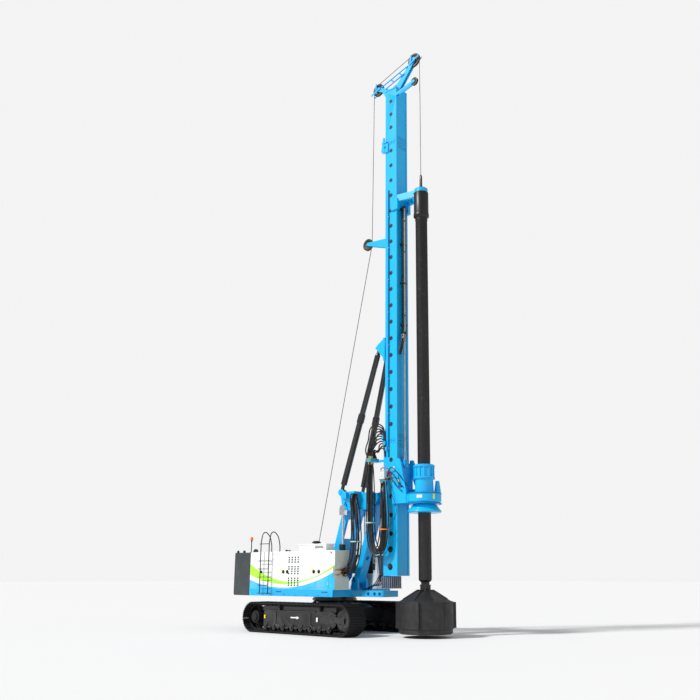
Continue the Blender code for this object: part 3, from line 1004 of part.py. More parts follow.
# ---------------------------------------------------------------- assembly
def main():
    clear_scene()
    base = Body("undercarriage")
    beam_low = build_undercarriage(base)
    for name, side in (("right", -1), ("left", 1)):
        crawler = Body(name + "_crawler", base, (0.0, side * TRACK_Y, TRACK_HEIGHT / 2))
        build_crawler(crawler, name, side, beam_low)

    upper = Body("upperstructure", base, (0.0, 0.0, DECK_BOTTOM))
    build_deck(upper)
    build_counterweight(upper)
    build_housings(upper)
    build_ladder(upper)

    def on_deck(name, pivot):
        return Body(name, upper, pivot)

    build_doors(on_deck)
    build_cab(upper, on_deck)
    build_roof_fittings(upper)
    build_winch(on_deck)

    boom = Body("boom", upper, (BOOM_FOOT[0], 0.0, BOOM_FOOT[1]))
    build_boom(boom)
    build_strut(Body("strut", upper, (STRUT_FOOT[0], 0.0, STRUT_FOOT[1])))
    triangle = Body("triangle", boom, (BOOM_HEAD[0], 0.0, BOOM_HEAD[1]))
    build_triangle(triangle)
    mast = Body("mast", triangle, (MAST_PIVOT[0], 0.0, MAST_PIVOT[1]))
    build_mast(mast)

    for name, side in (("right", -1), ("left", 1)):
        holder = {}

        def luff_barrel(label, pivot):
            holder["luff"] = Body(label, upper, pivot)
            return holder["luff"]

        def luff_rod(label, pivot):
            return Body(label, holder["luff"], pivot)

        def mast_barrel(label, pivot):
            holder["mast"] = Body(label, triangle, pivot)
            return holder["mast"]

        def mast_rod(label, pivot):
            return Body(label, holder["mast"], pivot)

        build_luff_cylinder(luff_barrel, luff_rod, name, side)
        build_mast_cylinder(mast_barrel, mast_rod, name, side)

    for name, center, radius in (("top_sheave", TOP_SHEAVE, TOP_SHEAVE_RADIUS), ("rear_sheave", REAR_SHEAVE, REAR_SHEAVE_RADIUS),
                                 ("auxiliary_sheave", AUX_SHEAVE, AUX_SHEAVE_RADIUS),
                                 ("guide_pulley", GUIDE_PULLEY, GUIDE_PULLEY_RADIUS)):
        Body(name, mast, center).add(name, sheave(center, radius), "steel")

    carriage = Body("drive_carriage", mast, (CROWD_X, 0.0, CARRIAGE_TOP))
    build_carriage(carriage)
    build_sleeve(Body("drive_sleeve", carriage, (KELLY_X, 0.0, GEARBOX_TOP)))
    guide = Body("kelly_guide", mast, (KELLY_X, 0.0, GUIDE_RING_TOP))
    build_kelly_guide(guide)
    kelly = Body("kelly", guide, (KELLY_X, 0.0, KELLY_HEAD_TOP))
    build_kelly(kelly)
    build_bucket_door(Body("bucket_door", kelly, (KELLY_X, BUCKET_RADIUS + 0.01, BUCKET_SHELL_BOTTOM - 0.005)))
    hose(upper, "bulkhead_hoses", BULKHEAD_HOSES, 0.10)
    hose(mast, "loop_hoses", LOOP_HOSES, 0.08)


main()
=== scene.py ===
"""Finished look of a crawler-mounted rotary piling rig.

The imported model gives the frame. Every size below is in metres, measured from the slewing axis at
ground level, with +X to the front of the machine, +Y to its left and +Z up.
"""

from __future__ import annotations

import json
import logging
import math
from dataclasses import dataclass
from enum import Enum
from typing import Callable, Iterable, Sequence

import bmesh
import bpy
from mathutils import Matrix, Vector
from mathutils.geometry import interpolate_bezier


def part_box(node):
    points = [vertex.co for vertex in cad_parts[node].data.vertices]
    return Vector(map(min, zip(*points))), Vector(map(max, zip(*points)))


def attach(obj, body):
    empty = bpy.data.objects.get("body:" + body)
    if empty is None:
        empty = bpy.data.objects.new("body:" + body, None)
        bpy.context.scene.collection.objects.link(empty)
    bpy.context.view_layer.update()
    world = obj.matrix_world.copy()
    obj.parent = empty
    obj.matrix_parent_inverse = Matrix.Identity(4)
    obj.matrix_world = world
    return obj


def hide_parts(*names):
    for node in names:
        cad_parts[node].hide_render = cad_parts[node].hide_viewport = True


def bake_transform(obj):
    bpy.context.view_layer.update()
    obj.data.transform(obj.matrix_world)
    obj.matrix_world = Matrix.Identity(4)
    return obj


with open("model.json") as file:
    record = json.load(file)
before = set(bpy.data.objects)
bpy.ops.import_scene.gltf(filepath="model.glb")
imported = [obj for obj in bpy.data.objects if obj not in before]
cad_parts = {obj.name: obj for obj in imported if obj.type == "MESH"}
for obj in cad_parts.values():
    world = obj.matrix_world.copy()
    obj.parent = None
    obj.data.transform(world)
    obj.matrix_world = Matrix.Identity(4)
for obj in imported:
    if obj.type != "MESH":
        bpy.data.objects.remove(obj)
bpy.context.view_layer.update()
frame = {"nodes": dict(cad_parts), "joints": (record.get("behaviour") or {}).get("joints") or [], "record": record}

log = logging.getLogger("piling_rig")

Point = tuple[float, float, float]
Pair = tuple[float, float]
Color = tuple[float, float, float]


def joint_point(name: str) -> Vector:
    """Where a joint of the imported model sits.

    Args:
        name: The joint's name in the record.

    Returns:
        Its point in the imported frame.
    """
    return Vector(next(joint["pos_m"] for joint in frame["joints"] if joint["name"] == name))


SLEW_AXIS = joint_point("slew")
TO_FRAME = Matrix.Translation((SLEW_AXIS.x, 0.0, 0.0))


class Side(Enum):
    """A side of the machine, as the sign of its Y."""

    RIGHT = -1
    LEFT = 1

    @property
    def word(self) -> str:
        """The side's name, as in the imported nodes."""
        return self.name.lower()


# ------------------------------------------------------------------------------------ shaders
class Wire:
    """A shader socket that takes part in arithmetic and adds a Math node for each step."""

    def __init__(self, graph: Graph, socket: bpy.types.NodeSocket) -> None:
        """Hold a socket of a graph."""
        self.graph = graph
        self.socket = socket

    def math(self, operation: str, *values: Wire | float) -> Wire:
        """Add one Math node.

        Args:
            operation: The node's operation.
            values: The operands, after this socket when it is an operand itself.

        Returns:
            The node's result.
        """
        return self.graph.node("ShaderNodeMath", {"operation": operation}, dict(enumerate(values)))

    def __add__(self, other: Wire | float) -> Wire:
        """Sum."""
        return self.math("ADD", self, other)

    __radd__ = __add__

    def __sub__(self, other: Wire | float) -> Wire:
        """Difference."""
        return self.math("SUBTRACT", self, other)

    def __rsub__(self, other: float) -> Wire:
        """Difference from a number."""
        return self.math("SUBTRACT", other, self)

    def __mul__(self, other: Wire | float) -> Wire:
        """Product."""
        return self.math("MULTIPLY", self, other)

    __rmul__ = __mul__

    def __gt__(self, other: Wire | float) -> Wire:
        """1 where this is the greater."""
        return self.math("GREATER_THAN", self, other)

    def __abs__(self) -> Wire:
        """Absolute value."""
        return self.math("ABSOLUTE", self)

    def ease(self, low: float, high: float) -> Wire:
        """Smooth step.

        Args:
            low: The value that gives 0.
            high: The value that gives 1.

        Returns:
            The eased mask.
        """
        return self.graph.node(
            "ShaderNodeMapRange", {"interpolation_type": "SMOOTHSTEP"},
                               {0: self, 1: low, 2: high, 3: 0.0, 4: 1.0}
        )


class Graph:
    """A material's node tree, built from Python expressions."""

    def __init__(self, name: str) -> None:
        """Start a material with one Principled shader."""
        self.material = bpy.data.materials.new(name)
        self.material.use_nodes = True
        self.tree = self.material.node_tree
        self.shader = next(node for node in self.tree.nodes if node.type == "BSDF_PRINCIPLED")
        coordinates = self.tree.nodes.new("ShaderNodeTexCoord")
        self.place = Wire(self, coordinates.outputs["Object"])

    def node(self, kind: str, settings: dict | None = None, inputs: dict | None = None,
             output: int | str = 0) -> Wire:
        """Add a node.

        Args:
            kind: The node's type.
            settings: Its attributes; a ramp's stops are (position, colour) pairs under "stops".
            inputs: Values or wires by the sockets' names or numbers.
            output: The socket to go on from.

        Returns:
            The wire from that socket.
        """
        made = self.tree.nodes.new(kind)
        for key, value in (settings or {}).items():
            if key == "stops":
                while len(made.color_ramp.elements) < len(value):
                    made.color_ramp.elements.new(0.5)
                for element, (position, color) in zip(made.color_ramp.elements, value):
                    element.position = position
                    element.color = (*color, 1.0)
            else:
                setattr(made, key, value)
        for key, value in (inputs or {}).items():
            if isinstance(value, Wire):
                self.tree.links.new(value.socket, made.inputs[key])
            else:
                made.inputs[key].default_value = value
        return Wire(self, made.outputs[output])

    def noise(self, scale: float, detail: float = 3.0, stretch: Point = (1.0, 1.0, 1.0)) -> Wire:
        """Noise over the object's own space.

        Args:
            scale: Its scale, per metre.
            detail: Its octaves.
            stretch: Scale of each axis, for streaks.

        Returns:
            Values about 0.5.
        """
        place = self.node("ShaderNodeMapping", {}, {"Vector": self.place, "Scale": stretch})
        return self.node("ShaderNodeTexNoise", {},
                         {"Vector": place, "Scale": scale, "Detail": detail, "Roughness": 0.6})

    def axes(self) -> tuple[Wire, Wire, Wire]:
        """The X, Y and Z of the object's own space."""
        split = self.tree.nodes.new("ShaderNodeSeparateXYZ")
        self.tree.links.new(self.place.socket, split.inputs[0])
        return tuple(Wire(self, split.outputs[index]) for index in range(3))

    def mix(self, mask: Wire | float, below: Wire | Color, above: Wire | Color) -> Wire:
        """Mix two colours.

        Args:
            mask: 0 for the first colour, 1 for the second.
            below: The first colour.
            above: The second colour.

        Returns:
            The mixed colour.
        """
        first, second = (value if isinstance(value, Wire) else (*value, 1.0) for value in (below, above))
        return self.node(
            "ShaderNodeMix", {"data_type": "RGBA"}, {"Factor": mask, 6: first, 7: second}, output=2
        )

    def bump(self, height: Wire, strength: float, distance: float = 0.002) -> Wire:
        """Turn a height into a normal.

        Args:
            height: The height field.
            strength: How strongly it shows.
            distance: The height of 1, in metres.

        Returns:
            The normal.
        """
        return self.node("ShaderNodeBump", {}, {"Height": height, "Strength": strength,
                                                "Distance": distance})

    def surface(self, **sockets: Wire | float | Sequence[float]) -> bpy.types.Material:
        """Set the shader's sockets, with _ for the spaces of their names.

        Args:
            sockets: A wire, number or colour for each socket.

        Returns:
            The material.
        """
        for key, value in sockets.items():
            socket = self.shader.inputs[key.replace("_", " ")]
            if isinstance(value, Wire):
                self.tree.links.new(value.socket, socket)
            elif isinstance(value, tuple) and len(value) == 3:
                socket.default_value = (*value, 1.0)
            else:
                socket.default_value = value
        return self.material


def shade(color: Color, factor: float) -> Color:
    """A colour made lighter or darker by a factor."""
    return tuple(min(1.0, channel * factor) for channel in color)


def parabola(points: Sequence[Pair]) -> tuple[float, float, float]:
    """The curve through three points.

    Args:
        points: Three (x, z) points.

    Returns:
        Its coefficients of 1, x and x squared.
    """
    (x0, z0), (x1, z1), (x2, z2) = points
    first = (z1 - z0) / (x1 - x0)
    square = ((z2 - z1) / (x2 - x1) - first) / (x2 - x0)
    slope = first - square * (x0 + x1)
    return z0 - slope * x0 - square * x0 * x0, slope, square


@dataclass(frozen=True)
class Finish:
    """A surface finish, made once as a material and shared by its pieces."""

    name: str
    slot: str

    def material(self) -> bpy.types.Material:
        """The finish's material, made on its first use."""
        found = bpy.data.materials.get(self.name)
        return found if found is not None else self.make(Graph(self.name))

    def make(self, graph: Graph) -> bpy.types.Material:
        """Build the material's nodes.

        Args:
            graph: The new material's graph.

        Returns:
            The material.
        """
        raise NotImplementedError


@dataclass(frozen=True)
class Paint(Finish):
    """Sprayed paint with dust, more of it towards the bottom, faint streaks and a few chips."""

    color: Color
    gloss: float = 0.30
    dust: float = 0.18
    chips: float = 0.0
    coat: float = 0.35

    def tint(self, graph: Graph) -> Wire | Color:
        """The clean colour, before dust and wear."""
        return self.color

    def make(self, graph: Graph) -> bpy.types.Material:
        """Build the paint's nodes.

        Args:
            graph: The new material's graph.

        Returns:
            The material.
        """
        _, _, z = graph.axes()
        patches = graph.noise(0.9, 4.0)
        clean = self.tint(graph)
        deep = graph.mix(patches.ease(0.35, 0.75) * 0.22, clean, shade(self.color, 0.78))
        streaks = graph.noise(7.0, 4.0, (1.0, 1.0, 0.12)).ease(0.52, 0.78)
        low = 1.0 - z.ease(0.1, 3.2)
        dirt = (graph.noise(2.3, 6.0).ease(0.45, 0.8) * (0.35 + low * 0.9) + streaks * 0.25) * self.dust
        dusty = graph.mix(dirt, deep, (0.36, 0.33, 0.28))
        chip = graph.noise(26.0, 5.0) > 0.5 + (0.20 - 0.06 * self.chips)
        worn = graph.mix(chip * (1.0 if self.chips > 0 else 0.0), dusty, (0.10, 0.09, 0.085))
        peel = graph.noise(90.0, 2.0)
        rough = patches * 0.08 + dirt * 0.9 + (self.gloss - 0.04)
        return graph.surface(
            Base_Color=worn, Roughness=rough, Coat_Weight=self.coat, Coat_Roughness=0.12,
            Normal=graph.bump(peel + chip * -2.0, 0.10, 0.0006),
        )


@dataclass(frozen=True)
class Livery(Paint):
    """White panels with a lime sweep over a blue skirt on both long sides."""

    lime: Color = (0.42, 1.0, 0.0)
    skirt: Color = (0.0, 0.50, 1.0)
    side: float = 1.52
    lime_top: tuple[Pair, Pair, Pair] = ((-3.10, 2.45), (-0.77, 1.80), (1.37, 2.33))
    lime_foot: tuple[Pair, Pair, Pair] = ((-3.10, 2.05), (-0.77, 1.72), (1.37, 2.25))
    skirt_top: tuple[Pair, Pair, Pair] = ((-3.10, 1.87), (-0.77, 1.60), (1.37, 2.11))

    def tint(self, graph: Graph) -> Wire | Color:
        """The clean colour: white, with both bands on faces that look sideways."""
        x, y, z = graph.axes()
        along = x - SLEW_AXIS.x

        def under(points: Sequence[Pair]) -> Wire:
            """1 below the curve through three points."""
            level, slope, square = parabola(points)
            return (along * along * square + along * slope + level) > z

        sideways = abs(y) > self.side
        band = under(self.lime_top) * (1.0 - under(self.lime_foot)) * sideways
        base = under(self.skirt_top) * sideways
        return graph.mix(base, graph.mix(band, self.color, self.lime), self.skirt)


@dataclass(frozen=True)
class Metal(Finish):
    """Bare or dark metal with streaks, scratches and dull patches."""

    color: Color
    roughness: float = 0.3
    metallic: float = 1.0
    rust: float = 0.0
    stretch: Point = (1.0, 1.0, 1.0)
    grain: float = 0.2

    def make(self, graph: Graph) -> bpy.types.Material:
        """Build the metal's nodes.

        Args:
            graph: The new material's graph.

        Returns:
            The material.
        """
        patches = graph.noise(3.0, 6.0, self.stretch)
        fine = graph.noise(40.0, 3.0, self.stretch)
        tone = graph.mix(patches.ease(0.3, 0.7) * 0.6, shade(self.color, 1.25), shade(self.color, 0.65))
        stain = graph.noise(5.5, 8.0).ease(0.55, 0.78) * self.rust
        stained = graph.mix(stain, tone, (0.16, 0.085, 0.045))
        rough = fine * 0.22 + patches * 0.18 + stain * 0.4 + (self.roughness - 0.16)
        return graph.surface(
            Base_Color=stained, Roughness=rough, Metallic=(1.0 - stain) * self.metallic,
            Normal=graph.bump(fine + patches * 0.6, self.grain, 0.0015),
        )


@dataclass(frozen=True)
class Rubber(Finish):
    """Black rubber: hose covers and seals, with a dusty bloom."""

    color: Color
    roughness: float = 0.42

    def make(self, graph: Graph) -> bpy.types.Material:
        """Build the rubber's nodes.

        Args:
            graph: The new material's graph.

        Returns:
            The material.
        """
        bloom = graph.noise(6.0, 5.0).ease(0.45, 0.8)
        fine = graph.noise(120.0, 2.0)
        tone = graph.mix(bloom * 0.35, self.color, (0.09, 0.085, 0.08))
        return graph.surface(
            Base_Color=tone, Roughness=bloom * 0.3 + self.roughness, Normal=graph.bump(fine, 0.15, 0.0008)
        )


@dataclass(frozen=True)
class Weave(Finish):
    """Woven seat cloth."""

    color: Color

    def make(self, graph: Graph) -> bpy.types.Material:
        """Build the cloth's nodes.

        Args:
            graph: The new material's graph.

        Returns:
            The material.
        """
        across = graph.node("ShaderNodeTexWave", {"bands_direction": "X"},
                            {"Vector": graph.place, "Scale": 90.0}, 1)
        along = graph.node("ShaderNodeTexWave", {"bands_direction": "Z"},
                           {"Vector": graph.place, "Scale": 90.0}, 1)
        threads = across * along
        tone = graph.mix(threads, shade(self.color, 0.6), shade(self.color, 1.6))
        return graph.surface(Base_Color=tone, Roughness=threads * 0.1 + 0.8,
                             Normal=graph.bump(threads, 0.4, 0.001))


@dataclass(frozen=True)
class Pane(Finish):
    """Dark tinted window glass with a film of dust."""

    color: Color

    def make(self, graph: Graph) -> bpy.types.Material:
        """Build the glass's nodes.

        Args:
            graph: The new material's graph.

        Returns:
            The material.
        """
        film = graph.noise(4.0, 6.0).ease(0.4, 0.85)
        tone = graph.mix(film * 0.15, self.color, (0.3, 0.32, 0.32))
        return graph.surface(Base_Color=tone, Roughness=film * 0.12 + 0.04, Alpha=film * 0.1 + 0.72,
                             Coat_Weight=1.0)


@dataclass(frozen=True)
class Ground(Finish):
    """Pale plain floor."""

    color: Color

    def make(self, graph: Graph) -> bpy.types.Material:
        """Build the floor's nodes.

        Args:
            graph: The new material's graph.

        Returns:
            The material.
        """
        return graph.surface(Base_Color=self.color, Roughness=0.9)


BLUE = Paint("rig_blue", "blue", (0.0, 0.46, 0.90), dust=0.04, chips=0.3, coat=0.15)
# A darker copy of the rig's blue, as painted shade, for pins, bolts, rims, pipes and the manifold casing.
BLUE_PAINTED_SHADE = Paint("shaded_blue", "blue", (0.0, 0.15, 0.38), dust=0.06, chips=0.3, coat=0.15)
WHITE = Paint("panel_white", "white", (0.86, 0.88, 0.86), dust=0.10)
# Panel white darkened and tinted green as painted shade, for the front box panels.
WHITE_PAINTED_SHADE = Paint("pale_box", "white", (0.70, 0.78, 0.70), dust=0.08)
LIVERY = Livery("side_livery", "white", (0.88, 0.90, 0.88), dust=0.08)
SLATE = Paint("counterweight_slate", "slate", (0.026, 0.036, 0.042), gloss=0.42, dust=0.10, chips=0.4)
BLACK = Paint("chassis_black", "black", (0.009, 0.009, 0.010), gloss=0.36, dust=0.07, chips=0.3)
TUBE_BLACK = Paint("cylinder_black", "black", (0.010, 0.010, 0.011), gloss=0.24, dust=0.12, coat=0.6)
TRACK = Metal("track_steel", "track_steel", (0.020, 0.020, 0.020), roughness=0.40, metallic=0.6, rust=0.12,
              grain=0.5)
CHARCOAL = Metal("kelly_steel", "charcoal", (0.035, 0.034, 0.034), roughness=0.34, metallic=0.75, rust=0.25,
                 stretch=(1.0, 1.0, 0.08), grain=0.25)
BUCKET = Metal("bucket_steel", "charcoal", (0.040, 0.039, 0.039), roughness=0.46, metallic=0.6, rust=0.30,
               grain=0.5)
CHROME = Metal("rod_chrome", "chrome", (0.72, 0.74, 0.77), roughness=0.16, grain=0.05)
SHEAVE = Metal("sheave_steel", "steel", (0.045, 0.038, 0.034), roughness=0.42, metallic=0.6, rust=0.5)
STEEL = Metal("machined_steel", "steel", (0.34, 0.34, 0.35), roughness=0.32, rust=0.15)
ROPE = Metal("wire_rope", "steel", (0.16, 0.155, 0.15), roughness=0.45, metallic=0.8, rust=0.2, grain=0.6)
BRASS = Metal("brass_fitting", "steel", (0.62, 0.47, 0.16), roughness=0.3, rust=0.2)
GREY = Paint("box_grey", "white", (0.62, 0.68, 0.70), dust=0.08)
RUBBER = Rubber("hose_rubber", "rubber", (0.012, 0.012, 0.013))
# Near black, for dark parts such as locks, latches, seams and the seat shell, and as painted shade in vent slots
# and holes.
DARK = Rubber("dark_recess", "rubber", (0.006, 0.006, 0.007), roughness=0.6)
MINT_TIE = Paint("mint_tie", "rubber", (0.35, 0.62, 0.52), gloss=0.5, dust=0.2, coat=0.0)
ORANGE_TIE = Paint("orange_tie", "rubber", (0.75, 0.22, 0.03), gloss=0.5, dust=0.2, coat=0.0)
YELLOW = Paint("warning_yellow", "rubber", (0.95, 0.78, 0.02), gloss=0.4, dust=0.1, coat=0.0)
AMBER = Paint("amber_lens", "rubber", (0.95, 0.20, 0.01), gloss=0.1, dust=0.02, coat=1.0)
RED = Paint("red_cable", "rubber", (0.75, 0.05, 0.02), gloss=0.35, dust=0.05, coat=0.2)
CLOTH = Weave("seat_cloth", "seat", (0.035, 0.036, 0.04))
GLASS = Pane("tinted_glass", "glass", (0.02, 0.03, 0.035))
GROUND = Ground("pale_floor", "blue", (0.86, 0.86, 0.86))


# ------------------------------------------------------------------------------------ shapes
class Shape:
    """A mesh in the making, about the slewing axis, that ends as one named piece."""

    def __init__(self) -> None:
        """Start with nothing."""
        self.bm = bmesh.new()

    def _placed(self, verts: Iterable[bmesh.types.BMVert], place: Matrix) -> Shape:
        """Move new vertices into place."""
        bmesh.ops.transform(self.bm, matrix=place, verts=list(verts))
        return self

    def block(self, low: Point, high: Point, turn: Matrix | None = None) -> Shape:
        """Add a box.

        Args:
            low: One corner.
            high: The opposite corner.
            turn: A matrix applied about the box's middle.

        Returns:
            This shape.
        """
        size = Vector(high) - Vector(low)
        middle = (Vector(high) + Vector(low)) / 2
        made = bmesh.ops.create_cube(self.bm, size=1.0)
        scale = Matrix.Diagonal((abs(size.x), abs(size.y), abs(size.z), 1.0))
        return self._placed(made["verts"], Matrix.Translation(middle) @ (turn or Matrix()) @ scale)

    def rod(self, start: Point, end: Point, radius: float, sides: int = 32,
            tip: float | None = None) -> Shape:
        """Add a round bar or cone.

        Args:
            start: Its first end's middle.
            end: Its other end's middle.
            radius: Its radius.
            sides: Its facets.
            tip: Its radius at the end, where that differs.

        Returns:
            This shape.
        """
        first, last = Vector(start), Vector(end)
        made = bmesh.ops.create_cone(
            self.bm, cap_ends=True, segments=sides, radius1=radius, radius2=radius if tip is None else tip,
            depth=(last - first).length,
        )
        turn = (last - first).to_track_quat("Z", "Y").to_matrix().to_4x4()
        return self._placed(made["verts"], Matrix.Translation((first + last) / 2) @ turn)

    def turned(self, profile: Sequence[Pair], foot: Point, way: Point = (0.0, 0.0, 1.0),
               sides: int = 64) -> Shape:
        """Add a shape turned on a lathe.

        Args:
            profile: (radius, height) points; the outline closes on itself or on the axis.
            foot: The point of height 0 on the axis.
            way: The axis.
            sides: Its facets.

        Returns:
            This shape.
        """
        verts = [self.bm.verts.new((radius, 0.0, height)) for radius, height in profile]
        edges = [self.bm.edges.new(ends) for ends in zip(verts, verts[1:])]
        if profile[0][0] > 0 or profile[-1][0] > 0:
            edges.append(self.bm.edges.new((verts[-1], verts[0])))
        before = set(self.bm.verts) - set(verts)
        bmesh.ops.spin(
            self.bm, geom=verts + edges, axis=(0, 0, 1), cent=(0, 0, 0), steps=sides, angle=2 * math.pi,
            use_merge=True, use_duplicate=False,
        )
        made = [vert for vert in self.bm.verts if vert not in before]
        bmesh.ops.remove_doubles(self.bm, verts=made, dist=0.00001)
        made = [vert for vert in self.bm.verts if vert not in before]
        faces = list({face for vert in made for face in vert.link_faces})
        bmesh.ops.recalc_face_normals(self.bm, faces=faces)
        turn = Vector(way).to_track_quat("Z", "Y").to_matrix().to_4x4()
        return self._placed(made, Matrix.Translation(foot) @ turn)

    def plate(self, outline: Sequence[Pair], low: float, high: float, plane: str = "xz") -> Shape:
        """Add a plate of a given outline.

        Args:
            outline: Its corners in its plane.
            low: Where it starts along the other axis.
            high: Where it ends.
            plane: "xz", "xy" or "yz".

        Returns:
            This shape.
        """
        lay: dict[str, Callable[[float, float, float], Point]] = {
            "xz": lambda a, b, c: (a, c, b), "xy": lambda a, b, c: (a, b, c), "yz": lambda a, b, c: (c, a, b)
        }
        put = lay[plane]
        face = self.bm.faces.new([self.bm.verts.new(put(a, b, low)) for a, b in outline])
        made = bmesh.ops.extrude_face_region(self.bm, geom=[face])
        moved = [item for item in made["geom"] if isinstance(item, bmesh.types.BMVert)]
        bmesh.ops.translate(self.bm, vec=Vector(put(0.0, 0.0, high - low)), verts=moved)
        faces = {near for vert in moved for near in vert.link_faces} | {face}
        bmesh.ops.recalc_face_normals(self.bm, faces=list(faces))
        return self

    def bolts(self, places: Iterable[Point], way: Point, radius: float = 0.018,
              height: float = 0.014) -> Shape:
        """Add hexagon bolt heads.

        Args:
            places: The points that they sit on.
            way: The direction that they stand out.
            radius: Their radius over corners.
            height: How far they stand out.

        Returns:
            This shape.
        """
        for place in places:
            start = Vector(place)
            self.rod(start - Vector(way) * 0.003, start + Vector(way) * height, radius, 6)
        return self

    def ring_of_bolts(self, center: Point, way: Point, reach: float, count: int,
                      radius: float = 0.018) -> Shape:
        """Add a circle of bolt heads.

        Args:
            center: The circle's middle.
            way: The direction that they stand out.
            reach: The circle's radius.
            count: How many there are.
            radius: The bolts' radius.

        Returns:
            This shape.
        """
        turn = Vector(way).to_track_quat("Z", "Y").to_matrix()
        places = []
        for index in range(count):
            angle = 2 * math.pi * index / count
            offset = turn @ Vector((reach * math.cos(angle), reach * math.sin(angle), 0.0))
            places.append(tuple(Vector(center) + offset))
        return self.bolts(places, way, radius)

    def spun(self, angle: float, about: Pair, verts: Sequence[bmesh.types.BMVert]) -> Shape:
        """Turn vertices about a vertical line through a plan point."""
        middle = Matrix.Translation((about[0], about[1], 0.0))
        return self._placed(verts, middle @ Matrix.Rotation(angle, 4, "Z") @ middle.inverted())

    def piece(
        self, name: str, body: str, finish: Finish, bevel: float = 0.004, replaces: Sequence[str] = (),
              angle: float = 38.0
    ) -> bpy.types.Object:
        """Finish the shape as one object that rides on a body.

        Args:
            name: The piece's name.
            body: The body that it moves with.
            finish: Its finish.
            bevel: The width of its worn edges, or 0.
            replaces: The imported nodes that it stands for.
            angle: The least angle, in degrees, that shows as an edge.

        Returns:
            The object.
        """
        mesh = bpy.data.meshes.new(name)
        bmesh.ops.transform(self.bm, matrix=TO_FRAME, verts=self.bm.verts[:])
        self.bm.to_mesh(mesh)
        self.bm.free()
        return dressed(mesh, name, body, finish, bevel, replaces, angle)


def dressed(
    mesh: bpy.types.Mesh, name: str, body: str, finish: Finish, bevel: float, replaces: Sequence[str],
            angle: float
) -> bpy.types.Object:
    """Give a mesh its finish, edges and body.

    Args:
        mesh: The mesh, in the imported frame.
        name: The piece's name.
        body: The body that it moves with.
        finish: Its finish.
        bevel: The width of its edges, or 0.
        replaces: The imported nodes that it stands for.
        angle: The least angle, in degrees, that shows as an edge.

    Returns:
        The object.
    """
    mesh.materials.clear()
    mesh.materials.append(finish.material())
    mesh.shade_smooth()
    mesh.set_sharp_from_angle(angle=math.radians(angle))
    made = bpy.data.objects.new(name, mesh)
    bpy.context.scene.collection.objects.link(made)
    if bevel > 0:
        edge = made.modifiers.new("edges", "BEVEL")
        edge.width = bevel
        edge.segments = 2
        edge.limit_method = "ANGLE"
        edge.angle_limit = math.radians(angle)
        edge.harden_normals = False
    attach(made, body)
    if replaces:
        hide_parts(*replaces)
    log.info("%s rides on %s", name, body)
    return made


def body_of_node(node: str) -> str:
    """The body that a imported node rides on."""
    bodies = frame["record"]["behaviour"]["bodies"]
    return next(body for body, nodes in bodies.items() if node in nodes)


def refined(node: str, finish: Finish, bevel: float = 0.006) -> bpy.types.Object:
    """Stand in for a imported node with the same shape, merged and with softened edges.

    Args:
        node: The node's name.
        finish: Its finish.
        bevel: The width of its edges.

    Returns:
        The new piece.
    """
    bm = bmesh.new()
    bm.from_mesh(frame["nodes"][node].data)
    bmesh.ops.remove_doubles(bm, verts=bm.verts[:], dist=0.00002)
    bmesh.ops.dissolve_limit(bm, angle_limit=math.radians(0.4), verts=bm.verts[:], edges=bm.edges[:])
    mesh = bpy.data.meshes.new(node + "_finished")
    bm.to_mesh(mesh)
    bm.free()
    return dressed(mesh, node + "_finished", body_of_node(node), finish, bevel, (node,), 38.0)


def meshed(curve: bpy.types.Object) -> bpy.types.Object:
    """Turn a curve with a depth into a mesh of the same name.

    Args:
        curve: The curve.

    Returns:
        The mesh object.
    """
    name = curve.name
    bpy.context.view_layer.update()
    shape = bpy.data.meshes.new_from_object(curve.evaluated_get(bpy.context.evaluated_depsgraph_get()))
    bpy.data.objects.remove(curve)
    shape.name = name
    made = bpy.data.objects.new(name, shape)
    bpy.context.scene.collection.objects.link(made)
    return made


@dataclass(frozen=True)
class Bend:
    """The second body of a piece that crosses a joint, and where the piece starts and ends to follow it."""

    body: str
    start: Point
    end: Point

    def apply(self, piece: bpy.types.Object, body: str) -> None:
        """Bake the mesh's transform into its vertices."""
        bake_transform(piece)


def pipes(
    name: str, body: str, routes: Sequence[Sequence[Point]], radius: float, finish: Finish,
          smooth: bool = True,
    bend: Bend | None = None,
) -> bpy.types.Object:
    """Lay pipes, ropes or fixed hoses as one piece.

    Args:
        name: The piece's name.
        body: The body that it moves with.
        routes: The points that each run passes through.
        radius: The pipe's radius.
        finish: Its finish.
        smooth: Whether the runs curve through their points.
        bend: A second body at its other end, if it crosses a joint; the piece is then made a mesh with its
            transform baked.

    Returns:
        The piece.
    """
    curve = bpy.data.curves.new(name, "CURVE")
    curve.dimensions = "3D"
    curve.bevel_depth = radius
    curve.bevel_resolution = 3
    curve.use_fill_caps = True
    curve.resolution_u = 6
    curve.render_resolution_u = 0
    for route in routes:
        spline = curve.splines.new("BEZIER")
        spline.bezier_points.add(len(route) - 1)
        for knot, point in zip(spline.bezier_points, route):
            knot.co = TO_FRAME @ Vector(point)
            knot.handle_left_type = knot.handle_right_type = "AUTO" if smooth else "VECTOR"
    curve.materials.append(finish.material())
    made = bpy.data.objects.new(name, curve)
    bpy.context.scene.collection.objects.link(made)
    if bend is None:
        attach(made, body)
    else:
        made = meshed(made)
        bend.apply(made, body)
    log.info("%s rides on %s", name, body)
    return made


